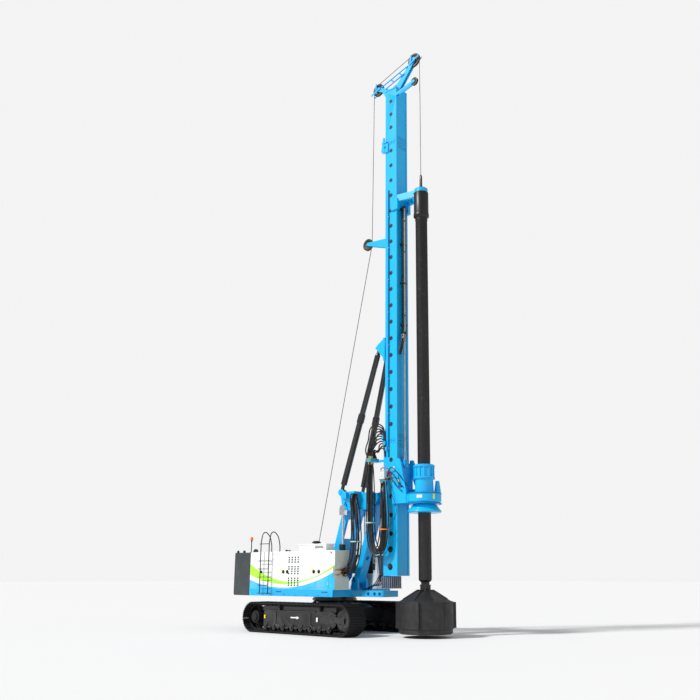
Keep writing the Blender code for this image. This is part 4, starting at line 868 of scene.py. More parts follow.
# ------------------------------------------------------------------------------------ hoses
@dataclass(frozen=True)
class Hoses:
    """A bundle of like hoses that hangs between two fittings."""

    name: str
    node: str
    route: tuple[Point, ...]
    count: int
    diameter: float
    pitch: float
    twist: float

    def offsets(self) -> list[Pair]:
        """Places of the hoses in the bundle: one in the middle and the others in two rings round it."""
        places = [(0.0, 0.0)]
        for ring, around in ((1, 6), (2, 5)):
            for index in range(around):
                angle = math.radians(30.0 * (ring - 1)) + 2 * math.pi * index / around
                places.append((ring * self.pitch * math.cos(angle), ring * self.pitch * math.sin(angle)))
        return places[: self.count]

    def line(self, offset: Pair) -> list[Vector]:
        """The route of one hose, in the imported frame.

        Args:
            offset: Its place in the bundle.

        Returns:
            Its points.
        """
        points = [TO_FRAME @ Vector(point) for point in self.route]
        last = len(points) - 1
        made = []
        for index, point in enumerate(points):
            way = (points[min(index + 1, last)] - points[max(index - 1, 0)]).normalized()
            across = Vector((0.0, 1.0, 0.0)).cross(way).normalized()
            beside = way.cross(across)
            turn = self.twist * math.sin(math.pi * index / last)
            swell = 1.0 + 0.75 * math.sin(math.pi * index / last)
            a = (offset[0] * math.cos(turn) - offset[1] * math.sin(turn)) * swell
            b = (offset[0] * math.sin(turn) + offset[1] * math.cos(turn)) * swell
            made.append(point + across * a + beside * b)
        return made

    def lay(self, body: str, bend: Bend | None = None) -> None:
        """Make each hose of the bundle.

        Args:
            body: The body that the bundle rides on.
            bend: The body at its far end, if it crosses a joint.
        """
        for index, offset in enumerate(self.offsets()):
            name = f"{self.name}_{index + 1}"
            curve = bpy.data.curves.new(name, "CURVE")
            curve.dimensions = "3D"
            curve.bevel_depth = self.diameter / 2
            curve.bevel_resolution = 3
            curve.use_fill_caps = True
            curve.resolution_u = 8
            curve.render_resolution_u = 0
            points = self.line(offset)
            spline = curve.splines.new("BEZIER")
            spline.bezier_points.add(len(points) - 1)
            for knot, point in zip(spline.bezier_points, points):
                knot.co = point
                knot.handle_left_type = knot.handle_right_type = "AUTO"
            path = [tuple(point) for start, end in zip(spline.bezier_points, spline.bezier_points[1:])
                    for point in interpolate_bezier(start.co, start.handle_right, end.handle_left, end.co,
                                                    9)[:-1]]
            path.append(tuple(points[-1]))
            curve.materials.append(RUBBER.material())
            hose = bpy.data.objects.new(name, curve)
            bpy.context.scene.collection.objects.link(hose)
            if bend is None:
                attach(hose, body)
            else:
                hose = meshed(hose)
                bend.apply(hose, body)
            if index == 0:
                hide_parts(self.node)


BULKHEAD = Hoses(
    "bulkhead_hose", "bulkhead_hoses",
    ((1.62, -0.72, 4.9397), (1.62, -0.72, 4.79), (1.62, -0.72, 4.64), (1.68, -0.73, 4.35),
     (1.74, -0.75, 4.00),
     (1.79, -0.77, 3.65), (1.83, -0.80, 3.25), (1.84, -0.84, 2.90), (1.82, -0.89, 2.60), (1.77, -0.96, 2.36),
     (1.74, -0.995, 2.275), (1.70, -1.03, 2.20), (1.60, -1.06, 2.14), (1.51, -1.06, 2.14),
     (1.4203, -1.06, 2.14)),
    count=12, diameter=0.046, pitch=0.054, twist=0.9,
)
LOOP = Hoses(
    "loop_hose", "loop_hoses",
    ((2.34, -0.62, 6.0597), (2.34, -0.62, 5.91), (2.34, -0.62, 5.76), (2.35, -0.63, 5.50),
     (2.36, -0.64, 5.20),
     (2.37, -0.65, 4.60), (2.38, -0.66, 4.00), (2.41, -0.66, 3.50), (2.48, -0.66, 3.12), (2.60, -0.66, 2.90),
     (2.74, -0.66, 2.84), (2.88, -0.66, 2.92), (2.98, -0.65, 3.20), (3.02, -0.64, 3.60), (3.02, -0.62, 4.10),
     (2.99, -0.60, 4.60), (2.97, -0.60, 5.00), (2.97, -0.60, 5.15), (2.97, -0.60, 5.2997)),
    count=12, diameter=0.040, pitch=0.048, twist=0.7,
)


def lay_cords() -> None:
    """Lay both free bundles: bulkhead to housing, and clamp bar to drive carriage."""
    BULKHEAD.lay("upperstructure")
    LOOP.lay("mast", Bend("drive_carriage", (2.46, -0.66, 3.0), (2.94, -0.66, 3.0)))


# ------------------------------------------------------------------------------------ view
@dataclass(frozen=True)
class Stand:
    """Camera, floor and studio light."""

    eye: Point = (22.345, -22.616, 1.991)
    heading: float = 130.922
    rise: float = 15.063
    lens: float = 41.60
    shift: Pair = (-0.0567, 0.0125)
    ambient: float = 0.42
    backdrop: float = 0.90

    def camera(self) -> None:
        """Make the camera low down by the machine's front right corner."""
        data = bpy.data.cameras.new("camera")
        data.lens = self.lens
        data.sensor_width = 36.0
        data.shift_x, data.shift_y = self.shift
        data.clip_end = 400.0
        camera = bpy.data.objects.new("camera", data)
        heading, rise = math.radians(self.heading), math.radians(self.rise)
        way = Vector((math.cos(heading) * math.cos(rise), math.sin(heading) * math.cos(rise),
                      math.sin(rise)))
        turned = way.to_track_quat("-Z", "Y").to_matrix().to_4x4()
        camera.matrix_world = Matrix.Translation(TO_FRAME @ Vector(self.eye)) @ turned
        bpy.context.scene.collection.objects.link(camera)
        bpy.context.scene.camera = camera

    def light(self) -> None:
        """Light the machine softly from high on its right, with a pale sky."""
        world = bpy.data.worlds.new("pale_sky")
        world.use_nodes = True
        sky = world.node_tree.nodes["Background"]
        rays = world.node_tree.nodes.new("ShaderNodeLightPath")
        seen = world.node_tree.nodes.new("ShaderNodeMapRange")
        seen.inputs["To Min"].default_value = self.ambient
        seen.inputs["To Max"].default_value = self.backdrop
        world.node_tree.links.new(rays.outputs["Is Camera Ray"], seen.inputs["Value"])
        world.node_tree.links.new(seen.outputs["Result"], sky.inputs["Strength"])
        sky.inputs["Color"].default_value = (1.0, 1.0, 1.0, 1.0)
        bpy.context.scene.world = world
        bpy.context.scene.view_settings.view_transform = "Standard"
        for name, energy, angle, turn in (("key", 3.3, 8.0, (50.0, 0.0, -22.0)),
                                          ("fill", 0.15, 60.0, (60.0, 0.0, 100.0))):
            data = bpy.data.lights.new(name, "SUN")
            data.energy = energy
            data.angle = math.radians(angle)
            lamp = bpy.data.objects.new(name, data)
            lamp.rotation_euler = tuple(math.radians(part) for part in turn)
            bpy.context.scene.collection.objects.link(lamp)

    def floor(self) -> None:
        """Lay a wide pale floor with no edge in view."""
        bm = bmesh.new()
        bmesh.ops.create_grid(bm, x_segments=1, y_segments=1, size=300.0)
        mesh = bpy.data.meshes.new("floor")
        bm.to_mesh(mesh)
        bm.free()
        mesh.materials.append(GROUND.material())
        floor = bpy.data.objects.new("floor", mesh)
        floor.location.z = -0.001
        bpy.context.scene.collection.objects.link(floor)

    def build(self) -> None:
        """Make the camera, the light and the floor."""
        self.camera()
        self.light()
        self.floor()


# ------------------------------------------------------------------------------------ undercarriage
@dataclass(frozen=True)
class Crawler:
    """One crawler: its shoes and links, its frame's fittings and its running gear."""

    side: Side
    gauge: float = 1.70
    length: float = 5.60
    height: float = 1.08
    shoe_width: float = 0.80
    shoes: int = 50
    grouser: float = 0.03
    frame_half: float = 0.19

    @property
    def body(self) -> str:
        """The crawler's body."""
        return self.side.word + "_crawler"

    @property
    def y(self) -> float:
        """The middle of the crawler."""
        return self.side.value * self.gauge

    def place(self, distance: float) -> tuple[Vector, Vector]:
        """Follow the track round.

        Args:
            distance: How far along the band, in metres.

        Returns:
            The point on the outside of the shoes, and the direction out of the band.
        """
        radius = self.height / 2 - self.grouser
        span = self.length - self.height
        arc = math.pi * radius
        middle = self.height / 2
        distance %= 2 * (span + arc)
        if distance < span:
            return Vector((distance - span / 2, self.y, middle - radius)), Vector((0, 0, -1))
        if distance < span + arc:
            angle = (distance - span) / radius - math.pi / 2
            center = span / 2
        elif distance < 2 * span + arc:
            return Vector((span / 2 - (distance - span - arc), self.y, middle + radius)), Vector((0, 0, 1))
        else:
            angle = (distance - 2 * span - arc) / radius + math.pi / 2
            center = -span / 2
        out = Vector((math.cos(angle), 0.0, math.sin(angle)))
        return Vector((center, self.y, middle)) + out * radius, out

    def shoe(self, pitch: float) -> Shape:
        """One three-bar shoe with its chain links, lying flat about the origin with its bars up."""
        shape = Shape()
        half = self.shoe_width / 2
        outline = [(-pitch * 0.47, -0.030), (pitch * 0.47, -0.030), (pitch * 0.49, -0.016),
                   (pitch * 0.47, -0.006)]
        for bar in (0.32, 0.0, -0.32):
            center, top = bar * pitch, self.grouser if bar == 0.0 else self.grouser * 0.93
            outline += [(center + 0.018, -0.004), (center + 0.008, top), (center - 0.008, top),
                        (center - 0.018, -0.004)]
        outline += [(-pitch * 0.47, -0.006)]
        shape.plate(outline, -half, half)
        for reach in (-0.11, 0.11):
            shape.plate([(-pitch * 0.56, -0.045), (-pitch * 0.40, -0.105), (pitch * 0.40, -0.105),
                         (pitch * 0.56, -0.045),
                         (pitch * 0.45, -0.030), (-pitch * 0.45, -0.030)], reach - 0.022, reach + 0.022)
        shape.rod((-pitch * 0.5, -0.15, -0.070), (-pitch * 0.5, 0.15, -0.070), 0.024, 10)
        return shape

    def track(self) -> None:
        """Lay the shoes round the wheels as one fixed loop."""
        span, arc = self.length - self.height, math.pi * (self.height / 2 - self.grouser)
        pitch = 2 * (span + arc) / self.shoes
        mold = bpy.data.meshes.new("shoe_mold")
        shape = self.shoe(pitch)
        shape.bm.to_mesh(mold)
        shape.bm.free()
        whole = Shape()
        for index in range(self.shoes):
            point, out = self.place((index + 0.5) * pitch)
            before = set(whole.bm.verts)
            whole.bm.from_mesh(mold)
            along = Vector((0.0, 1.0, 0.0)).cross(out)
            turn = Matrix((along, (0.0, 1.0, 0.0), out)).transposed().to_4x4()
            whole._placed([vert for vert in whole.bm.verts if vert not in before],
                          Matrix.Translation(point) @ turn)
        bpy.data.meshes.remove(mold)
        whole.piece(self.side.word + "_track_shoes", self.body, TRACK, 0.003, (self.side.word + "_track",))

    def fittings(self) -> None:
        """Dress the frame with guards, bolts, roller ends, an arrow and blank plates."""
        out = self.side.value
        face = self.y + out * self.frame_half
        shape = Shape()
        for x in (-1.16, 0.66):
            shape.block((x - 0.05, face - out * 0.01, 0.30), (x + 0.05, face + out * 0.02, 0.78))
            shape.plate([(x - 0.05, 0.30), (x + 0.16, 0.21), (x + 0.20, 0.25), (x + 0.05, 0.34)],
                        face - 0.02 * out, face + 0.05 * out)
        shape.block((-1.45, face - out * 0.01, 0.765), (0.95, face + out * 0.035, 0.80))
        for index in range(8):
            x = -1.66 + 3.30 * index / 7
            shape.rod((x, face + out * 0.02, 0.225), (x, self.y + out * 0.262, 0.225), 0.058, 20)
            shape.rod((x, self.y + out * 0.262, 0.225), (x, self.y + out * 0.272, 0.225), 0.030, 6)
            shape.block((x - 0.075, face - out * 0.01, 0.235), (x + 0.075, face + out * 0.03, 0.33))
            shape.bolts([(x - 0.05, face + out * 0.03, 0.30), (x + 0.05, face + out * 0.03, 0.30)],
                        (0, out, 0), 0.015)
        for index in range(7):
            x = -1.42 + 3.30 * index / 7
            shape.plate([(x - 0.14, 0.245), (x - 0.05, 0.17), (x + 0.05, 0.17), (x + 0.14, 0.245)],
                        face + 0.045 * out, face + 0.06 * out)
        for x in (-0.95, 1.15):
            shape.rod((x, self.y + out * 0.22, 0.884), (x, self.y + out * 0.245, 0.884), 0.062, 20)
            shape.ring_of_bolts((x, self.y + out * 0.245, 0.884), (0, out, 0), 0.042, 5, 0.009)
        shape.turned([(0.0, 0.0), (0.30, 0.0), (0.30, 0.02), (0.24, 0.035), (0.11, 0.035), (0.11, 0.055),
                      (0.0, 0.055)],
                     (2.26, self.y + out * 0.15, 0.54), (0, out, 0), 40)
        shape.ring_of_bolts((2.26, self.y + out * 0.185, 0.54), (0, out, 0), 0.17, 8, 0.016)
        shape.ring_of_bolts((-2.26, self.y + out * 0.22, 0.54), (0, out, 0), 0.185, 12, 0.014)
        shape.block((1.15, face - out * 0.01, 0.40), (1.70, face + out * 0.025, 0.70))
        shape.bolts([(x, face + out * 0.025, z) for x in (1.20, 1.65) for z in (0.45, 0.65)], (0, out, 0),
                    0.016)
        # Carrier skid on top of the frame, black like the frame; it also fills the gap under the track's upper run
        # with black as painted shade.
        shape.block((-1.90, self.y - 0.14, 0.775), (1.90, self.y + 0.14, 0.940))
        shape.piece(self.side.word + "_frame_fittings", self.body, BLACK, 0.003)

        arrow = [(-0.34, 0.545), (-0.02, 0.545), (-0.02, 0.51), (0.11, 0.565), (-0.02, 0.62),
                 (-0.02, 0.585), (-0.34, 0.585)]
        marks = Shape().plate(arrow, face + out * 0.0005, face + out * 0.002)
        marks.block((1.00, face + out * 0.0255, 0.46), (1.08, face + out * 0.0265, 0.60))
        marks.piece(self.side.word + "_frame_marks", self.body, WHITE, 0.0)
        tags = Shape()
        for x, z in ((-1.72, 0.56), (1.92, 0.50)):
            tags.block((x - 0.03, face + out * 0.0005, z - 0.06), (x + 0.03, face + out * 0.03, z + 0.06))
        tags.piece(self.side.word + "_frame_tags", self.body, YELLOW, 0.0)

    def build(self) -> None:
        """Make the whole crawler."""
        self.track()
        self.fittings()
        refined(self.side.word + "_track_frame", BLACK, 0.008)
        refined(self.side.word + "_sprocket", TRACK, 0.005)


def build_carbody() -> None:
    """Dress the carbody and the slew ring."""
    refined("carbody", BLACK, 0.012)
    shape = Shape()
    shape.ring_of_bolts((0.0, 0.0, 1.115), (0, 0, 1), 0.755, 40, 0.016)
    shape.turned([(0.80, 1.13), (0.835, 1.14), (0.835, 1.20), (0.80, 1.21)], (0, 0, 0), sides=96)
    for x in (-1.0, 1.0):
        shape.block((x - 0.08, -0.25, 0.86), (x + 0.08, 0.25, 0.905))
    shape.piece("carbody_fittings", "undercarriage", BLACK, 0.003)


# ------------------------------------------------------------------------------------ upperstructure
@dataclass(frozen=True)
class Housing:
    """Deck, service housings, counterweight and what is fixed to them."""

    right: float = -1.55
    left: float = 1.55
    roof: float = 2.90
    rear: float = -3.11
    front: float = 1.42
    lock_z: float = 2.16
    body: str = "upperstructure"

    def shells(self) -> None:
        """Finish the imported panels."""
        refined("upper_frame", BLUE, 0.010)
        refined("counterweight", SLATE, 0.022)
        refined("engine", BLACK, 0.02)
        for node in ("right_housing", "rear_housing"):
            refined(node, LIVERY, 0.012)
        for index in range(1, 5):
            refined(f"side_door_{index}", LIVERY, 0.008)

    def vents(self) -> None:
        """Lay four columns of dark slots beside the second door's lock, as painted shade in the vent openings."""
        slots = Shape()
        for column in range(4):
            x = -0.885 + 0.165 * column
            for row in range(13):
                z = 1.650 + 0.083 * row
                if row in (4, 9) or (abs(z - self.lock_z) < 0.07 and column == 0):
                    continue
                slots.block((x - 0.038, self.right - 0.0015, z), (x + 0.038, self.right + 0.004, z + 0.056))
        slots.piece("door_vents", "side_door_2", DARK, 0.0)

    def locks(self) -> None:
        """Fit a round lock to each door, with a yellow tag beside two of them."""
        for index, x in ((1, -1.19), (2, -0.97), (3, 0.45), (4, 0.71)):
            lock = Shape().turned([(0.0, 0.0), (0.068, 0.0), (0.068, 0.012), (0.052, 0.022), (0.0, 0.014)],
                                  (x, self.right + 0.001, self.lock_z), (0, -1, 0), 28)
            lock.block((x - 0.008, self.right - 0.024, self.lock_z - 0.028),
                       (x + 0.008, self.right - 0.010, self.lock_z + 0.028))
            lock.piece(f"door_lock_{index}", f"side_door_{index}", DARK, 0.002)
        for index, x in ((1, -1.28), (3, 0.36)):
            tag = Shape().block((x - 0.030, self.right - 0.002, self.lock_z - 0.06),
                                (x + 0.030, self.right + 0.001, self.lock_z + 0.12))
            tag.piece(f"door_tag_{index}", f"side_door_{index}", YELLOW, 0.0)
        for index, x in ((1, -1.762), (2, -0.348), (3, -0.212), (4, 1.162)):
            hinge = Shape()
            for z in (1.75, 2.62):
                hinge.rod((x, self.right - 0.008, z - 0.05), (x, self.right - 0.008, z + 0.05), 0.011, 12)
            hinge.piece(f"door_hinge_{index}", f"side_door_{index}", WHITE, 0.0)

    def trim(self) -> None:
        """Add the seams, handles, hooks and bolts of the right side and front."""
        seams = Shape()
        for x in (-1.82, 1.22):
            seams.block((x - 0.003, self.right - 0.001, 1.56), (x + 0.003, self.right + 0.002, 2.86))
        seams.block((self.rear + 0.02, self.right - 0.001, 2.853), (self.front, self.right + 0.002, 2.857))
        seams.piece("panel_seams", self.body, DARK, 0.0)

        steel = Shape()
        for x in (-1.42, 1.02):
            steel.block((x - 0.14, self.right - 0.020, 1.452), (x - 0.12, self.right + 0.002, 1.462))
            steel.block((x + 0.12, self.right - 0.020, 1.452), (x + 0.14, self.right + 0.002, 1.462))
            steel.block((x - 0.14, self.right - 0.030, 1.446), (x + 0.14, self.right - 0.018, 1.460))
        for x in (-2.44,):
            steel.rod((x, self.right + 0.004, self.lock_z), (x, self.right - 0.02, self.lock_z), 0.05, 24)
        steel.bolts([(x, self.right, 1.345) for x in (-2.9, -2.3, -1.7, -1.1, -0.5, 0.1, 0.7, 1.2)],
                    (0, -1, 0), 0.016, 0.010)
        steel.piece("skirt_handles", self.body, BLACK, 0.002)

        # The front box panels take the shaded copy of panel white, as painted shade.
        panels = Shape()
        for low, high in ((2.352, 2.884), (1.545, 1.928)):
            panels.block((1.4965, -1.534, low), (1.5025, -0.816, high))
        panels.piece("front_panels", self.body, WHITE_PAINTED_SHADE, 0.004)
        fittings = Shape()
        for row, z in enumerate((2.05, 2.22)):
            for column in range(7):
                y = -1.44 + 0.088 * column
                if row == 0 and y > -1.20:
                    continue
                fittings.rod((1.415, y, z), (1.47, y, z), 0.026, 6)
                fittings.rod((1.46, y, z), (1.50, y, z), 0.018, 16)
        fittings.piece("port_fittings", self.body, BRASS, 0.002)
        collar = Shape()
        for offset in BULKHEAD.offsets():
            y, z = -1.06 + offset[1], 2.14 + offset[0]
            collar.turned([(0.024, 0.0), (0.034, 0.0), (0.034, 0.07), (0.024, 0.07)], (1.4205, y, z),
                          (1, 0, 0), 20)
        collar.piece("hose_collars", self.body, BRASS, 0.002)
        latch = Shape().block((1.28, self.right - 0.012, 2.80), (1.36, self.right + 0.002, 2.835),
                              Matrix.Rotation(math.radians(35), 4, "Y"))
        latch.piece("box_latch", self.body, DARK, 0.003)

    def roof_fittings(self) -> None:
        """Add the roof's box lids, exhaust, beacon, rails and caps."""
        box = Shape()
        box.block((-0.60, -1.38, 3.115), (0.89, -0.935, 3.150))
        box.block((-0.50, -1.353, 2.98), (-0.10, -1.348, 3.08))
        box.block((0.25, -1.353, 2.98), (0.75, -1.348, 3.08))
        box.piece("roof_box_lid", self.body, WHITE, 0.006)
        # Dark slots as painted shade in the box's vent openings.
        vents = Shape()
        for index in range(9):
            vents.block((0.28 + 0.05 * index, -1.356, 2.985), (0.31 + 0.05 * index, -1.349, 3.07))
        vents.piece("roof_box_vents", self.body, DARK, 0.0)

        refined("exhaust_stack", DARK, 0.003)
        posts = Shape()
        posts.turned([(0.0, 0.0), (0.05, 0.0), (0.05, 0.02), (0.018, 0.03), (0.018, 0.42), (0.035, 0.44),
                      (0.035, 0.47), (0.0, 0.47)],
                     (-3.40, -1.30, 2.9005), sides=24)
        for x in (-4.08, -3.70):
            posts.turned([(0.0, 0.0), (0.05, 0.0), (0.05, 0.06), (0.03, 0.09), (0.0, 0.09)],
                         (x, -1.40, 2.898), sides=20)
        posts.turned([(0.0, 0.0), (0.045, 0.0), (0.045, 0.05), (0.02, 0.07), (0.0, 0.07)],
                     (-1.16, -1.45, 2.898), sides=20)
        posts.piece("roof_posts", self.body, DARK, 0.002, ("beacon",))
        lens = Shape().turned([(0.0, 0.0), (0.055, 0.0), (0.055, 0.09), (0.045, 0.125), (0.02, 0.14),
                               (0.0, 0.142)],
                              (-3.40, -1.30, 3.37), sides=32)
        lens.piece("beacon_lens", self.body, AMBER, 0.0)

        rails = [[(x, 1.50, 2.90), (x, 1.50, 2.98), (x + 0.30, 1.50, 2.98), (x + 0.30, 1.50, 2.90)]
                 for x in (-2.9, -1.9)]
        pipes("roof_handles", self.body, rails, 0.014, BLACK, smooth=False)
        hatch = Shape()
        for x in (-2.8, -2.1):
            hatch.block((x, -0.62, 2.899), (x + 0.58, 0.62, 2.915))
            hatch.block((x + 0.24, -0.60, 2.913), (x + 0.34, -0.56, 2.935))
        hatch.block((-1.42, 0.90, 2.899), (-0.75, 1.48, 2.912))
        hatch.piece("roof_hatches", self.body, WHITE, 0.006)

    def left_side(self) -> None:
        """Add the cooler grille, doors and handles of the left side and the counterweight's lugs."""
        # Dark slots as painted shade in the cooler grille's openings.
        grille = Shape()
        for row in range(18):
            z = 1.78 + 0.05 * row
            grille.block((-2.95, self.left - 0.004, z), (-2.05, self.left + 0.002, z + 0.026))
        grille.piece("cooler_slots", self.body, DARK, 0.0)
        seams = Shape()
        for x in (-3.0, -2.0, -1.35, -0.70):
            seams.block((x - 0.003, self.left - 0.002, 1.56), (x + 0.003, self.left + 0.001, 2.86))
        seams.block((-3.0, self.left - 0.002, 2.853), (-0.64, self.left + 0.001, 2.857))
        seams.piece("left_seams", self.body, DARK, 0.0)
        locks = Shape()
        for x in (-1.42, -1.27):
            locks.rod((x, self.left - 0.002, self.lock_z), (x, self.left + 0.018, self.lock_z), 0.05, 24)
        locks.piece("left_locks", self.body, DARK, 0.003)
        lugs = Shape()
        for y in (-0.9, 0.9):
            lugs.plate([(-3.75, 2.89), (-3.45, 2.89), (-3.50, 3.02), (-3.60, 3.06), (-3.70, 3.02)],
                       y - 0.03, y + 0.03)
            lugs.block((-4.2405, y - 0.25, 1.75), (-4.235, y + 0.25, 2.45))
        for y in (-1.2, -0.4, 0.4, 1.2):
            lugs.rod((-4.2405, y, 2.70), (-4.23, y, 2.70), 0.04, 24)
        lugs.piece("counterweight_lugs", self.body, SLATE, 0.006)

    def ladder(self) -> None:
        """Bend the boarding ladder's stiles over the roof's edge as two hoops."""
        face = self.right - 0.137
        routes = []
        for x in (-2.36, -1.885):
            routes.append([(x, face, 1.36), (x, face, 2.2), (x, face, 2.95), (x, face + 0.02, 3.35),
                           (x, face + 0.15, 3.635), (x, -1.32, 3.56), (x, -1.16, 3.20), (x, -1.14, 2.905)])
        pipes("ladder_stiles", self.body, routes, 0.020, BLACK)
        rungs = []
        for index in range(5):
            z = 1.375 + 0.297 * index
            rungs.append([(-2.50, face, z), (-1.885, face, z)])
            rungs.append([(-2.50, face - 0.0, z + 0.0), (-2.50, self.right + 0.005, z)] if index % 2 else
                         [(-1.885, face, z), (-1.885, self.right + 0.005, z)])
        rungs.append([(-2.46, face + 0.01, 3.20), (-1.88, face + 0.01, 3.20)])
        made = pipes("ladder_rungs", self.body, rungs, 0.014, BLACK, smooth=False)
        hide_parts("boarding_ladder")

    def nose(self) -> None:
        """Add the deck nose's holes, as dark discs of painted shade in rims of blue darkened as painted shade, and
        its bolts.
        """
        rims, holes = Shape(), Shape()
        for side in (-1, 1):
            for x in (2.12, 2.42, 2.66):
                rims.turned([(0.040, 0.0), (0.062, 0.0), (0.062, 0.006), (0.040, 0.006)],
                            (x, side * 0.45, 1.395), (0, side, 0), 28)
                holes.rod((x, side * 0.449, 1.395), (x, side * 0.4515, 1.395), 0.041, 28)
            rims.ring_of_bolts((1.60, side * 0.55, 1.50), (0, 0, 1), 0.06, 6, 0.012)
        rims.piece("nose_rims", self.body, BLUE_PAINTED_SHADE, 0.0)
        holes.piece("nose_holes", self.body, DARK, 0.0)
        hoses = [[(1.70 + 0.05 * index, -0.30 + 0.09 * index, 1.52),
                  (1.95, -0.25 + 0.08 * index, 1.60 + 0.02 * index),
                  (2.20 + 0.04 * index, -0.22 + 0.07 * index, 1.72), (2.45, -0.20 + 0.04 * index, 2.05)]
                 for index in range(4)]
        pipes("deck_hoses", self.body, hoses, 0.018, RUBBER)

    def winch(self) -> None:
        """Wind rope on the main drum, between its rims."""
        x, z = joint_point("winch_drum_spin").x - SLEW_AXIS.x, joint_point("winch_drum_spin").z
        _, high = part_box("winch_drum")
        half = high[1]
        drum = Shape()
        outline = [(0.07, -half), (high[2] - z, -half), (high[2] - z, -half + 0.035), (0.28, -half + 0.04)]
        wraps = 24
        for index in range(wraps):
            y = -half + 0.05 + (2 * half - 0.10) * (index + 0.5) / wraps
            outline += [(0.296, y - 0.012), (0.308, y), (0.296, y + 0.012)]
        outline += [(0.28, half - 0.04), (high[2] - z, half - 0.035), (high[2] - z, half), (0.07, half)]
        drum.turned(outline, (x, 0.0, z), (0, 1, 0), 48)
        for side in (-1, 1):
            drum.ring_of_bolts((x, side * half * 0.999, z), (0, side, 0), 0.34, 12, 0.001)
        drum.piece("winch_drum_rope", "winch_drum", ROPE, 0.0, ("winch_drum",))

    def build(self) -> None:
        """Make everything on the deck but the cab."""
        self.shells()
        self.vents()
        self.locks()
        self.trim()
        self.roof_fittings()
        self.left_side()
        self.ladder()
        self.nose()
        self.winch()


@dataclass(frozen=True)
class Cab:
    """The operator's cab with its seat, controls and outside fittings."""

    right: float = 0.82
    left: float = 1.55
    body: str = "upperstructure"

    def seat(self) -> None:
        """Make the seat's two padded cushions, its shell and its arm rests."""
        for name, low, high, crown in (("seat_cushion", (0.04, 0.99, 1.92), (0.55, 1.41, 2.04), 0.03),
                                       ("seat_back", (-0.06, 1.00, 2.04), (0.07, 1.40, 2.62), 0.02)):
            shape = Shape().block(low, high)
            bmesh.ops.subdivide_edges(shape.bm, edges=shape.bm.edges[:], cuts=3, use_grid_fill=True)
            middle = (Vector(low) + Vector(high)) / 2
            for vert in shape.bm.verts:
                offset = vert.co - middle
                reach = max(abs(offset.x) / (high[0] - low[0]), abs(offset.y) / (high[1] - low[1])) * 2
                vert.co.z += crown * (1 - reach * reach) * (1 if offset.z > 0 else 0.3)
            made = shape.piece(name, self.body, CLOTH, 0.0)
            round_off = made.modifiers.new("soft", "SUBSURF")
            round_off.levels = round_off.render_levels = 2
        shell = Shape()
        shell.block((0.06, 1.03, 1.585), (0.46, 1.37, 1.90))
        shell.block((-0.08, 1.02, 1.90), (0.0, 1.38, 2.60))
        for y in (0.93, 1.40):
            shell.block((0.06, y, 2.08), (0.60, y + 0.065, 2.15))
            shell.rod((0.54, y + 0.03, 2.14), (0.55, y + 0.03, 2.28), 0.018, 16, 0.026)
        shell.piece("seat_shell", self.body, DARK, 0.012, ("operator_seat",))

    def fittings(self) -> None:
        """Add seals, console, handles, mirror, lamps, wiper and roof guard."""
        refined("cab", WHITE, 0.014)
        refined("cab_door", WHITE, 0.006)
        refined("cab_front_glass", GLASS, 0.0)
        refined("cab_door_glass", GLASS, 0.0)
        panes = Shape()
        panes.plate([(0.43, 2.11), (1.19, 2.11), (1.15, 2.79), (0.43, 2.79)], self.right + 0.018,
                    self.right + 0.028)
        panes.block((-0.34, self.right + 0.018, 2.11), (0.31, self.right + 0.028, 2.79))
        panes.block((-0.532, self.right + 0.13, 2.21), (-0.522, self.left - 0.13, 2.79))
        panes.block((-0.41, self.left - 0.028, 2.21), (0.01, self.left - 0.018, 2.79))
        panes.block((0.36, self.right + 0.16, 2.992), (0.94, self.left - 0.16, 3.002))
        panes.piece("cab_side_glass", self.body, GLASS, 0.0)
        dark = Shape()
        dark.block((1.00, 0.95, 1.585), (1.22, 1.42, 1.95))
        dark.block((1.12, 1.02, 1.95), (1.20, 1.30, 2.25))
        dark.plate([(1.215, 2.75), (1.225, 2.77), (1.40, 1.90), (1.385, 1.90)], 1.18, 1.20)
        dark.block((0.30, self.right - 0.018, 2.96), (0.42, self.right - 0.001, 3.0))
        for y in (0.90, 1.47):
            dark.turned([(0.0, 0.0), (0.055, 0.0), (0.07, 0.05), (0.07, 0.08), (0.0, 0.08)],
                        (1.05, y, 3.06), (1, 0, 0), 24)
            dark.rod((1.08, y, 3.01), (1.08, y, 3.06), 0.012, 12)
        dark.piece("cab_controls", self.body, DARK, 0.006)
        routes = [[(1.20, 1.575, 1.75), (1.23, 1.62, 1.80), (1.23, 1.62, 2.30), (1.20, 1.575, 2.36)],
                  [(1.30, 0.80, 2.55), (1.36, 0.72, 2.60), (1.38, 0.68, 2.30)]]
        pipes("cab_handles", self.body, routes, 0.013, BLACK)
        mirror = Shape().block((1.365, 0.60, 2.22), (1.385, 0.74, 2.46))
        mirror.piece("cab_mirror", self.body, DARK, 0.008)
        guard = [[(x, 0.98, 3.045), (x, 1.39, 3.045)] for x in (0.40, 0.51, 0.62, 0.73, 0.84)]
        guard += [[(0.34, y, 3.035), (0.92, y, 3.035)] for y in (0.98, 1.39)]
        pipes("roof_guard", self.body, guard, 0.008, BLACK, smooth=False)
        latch = Shape()
        latch.block((1.10, 1.548, 2.02), (1.16, 1.570, 2.05))
        latch.block((1.00, 1.563, 2.022), (1.16, 1.576, 2.048))
        latch.piece("cab_door_latch", "cab_door", DARK, 0.004)

    def build(self) -> None:
        """Make the whole cab."""
        self.fittings()
        self.seat()


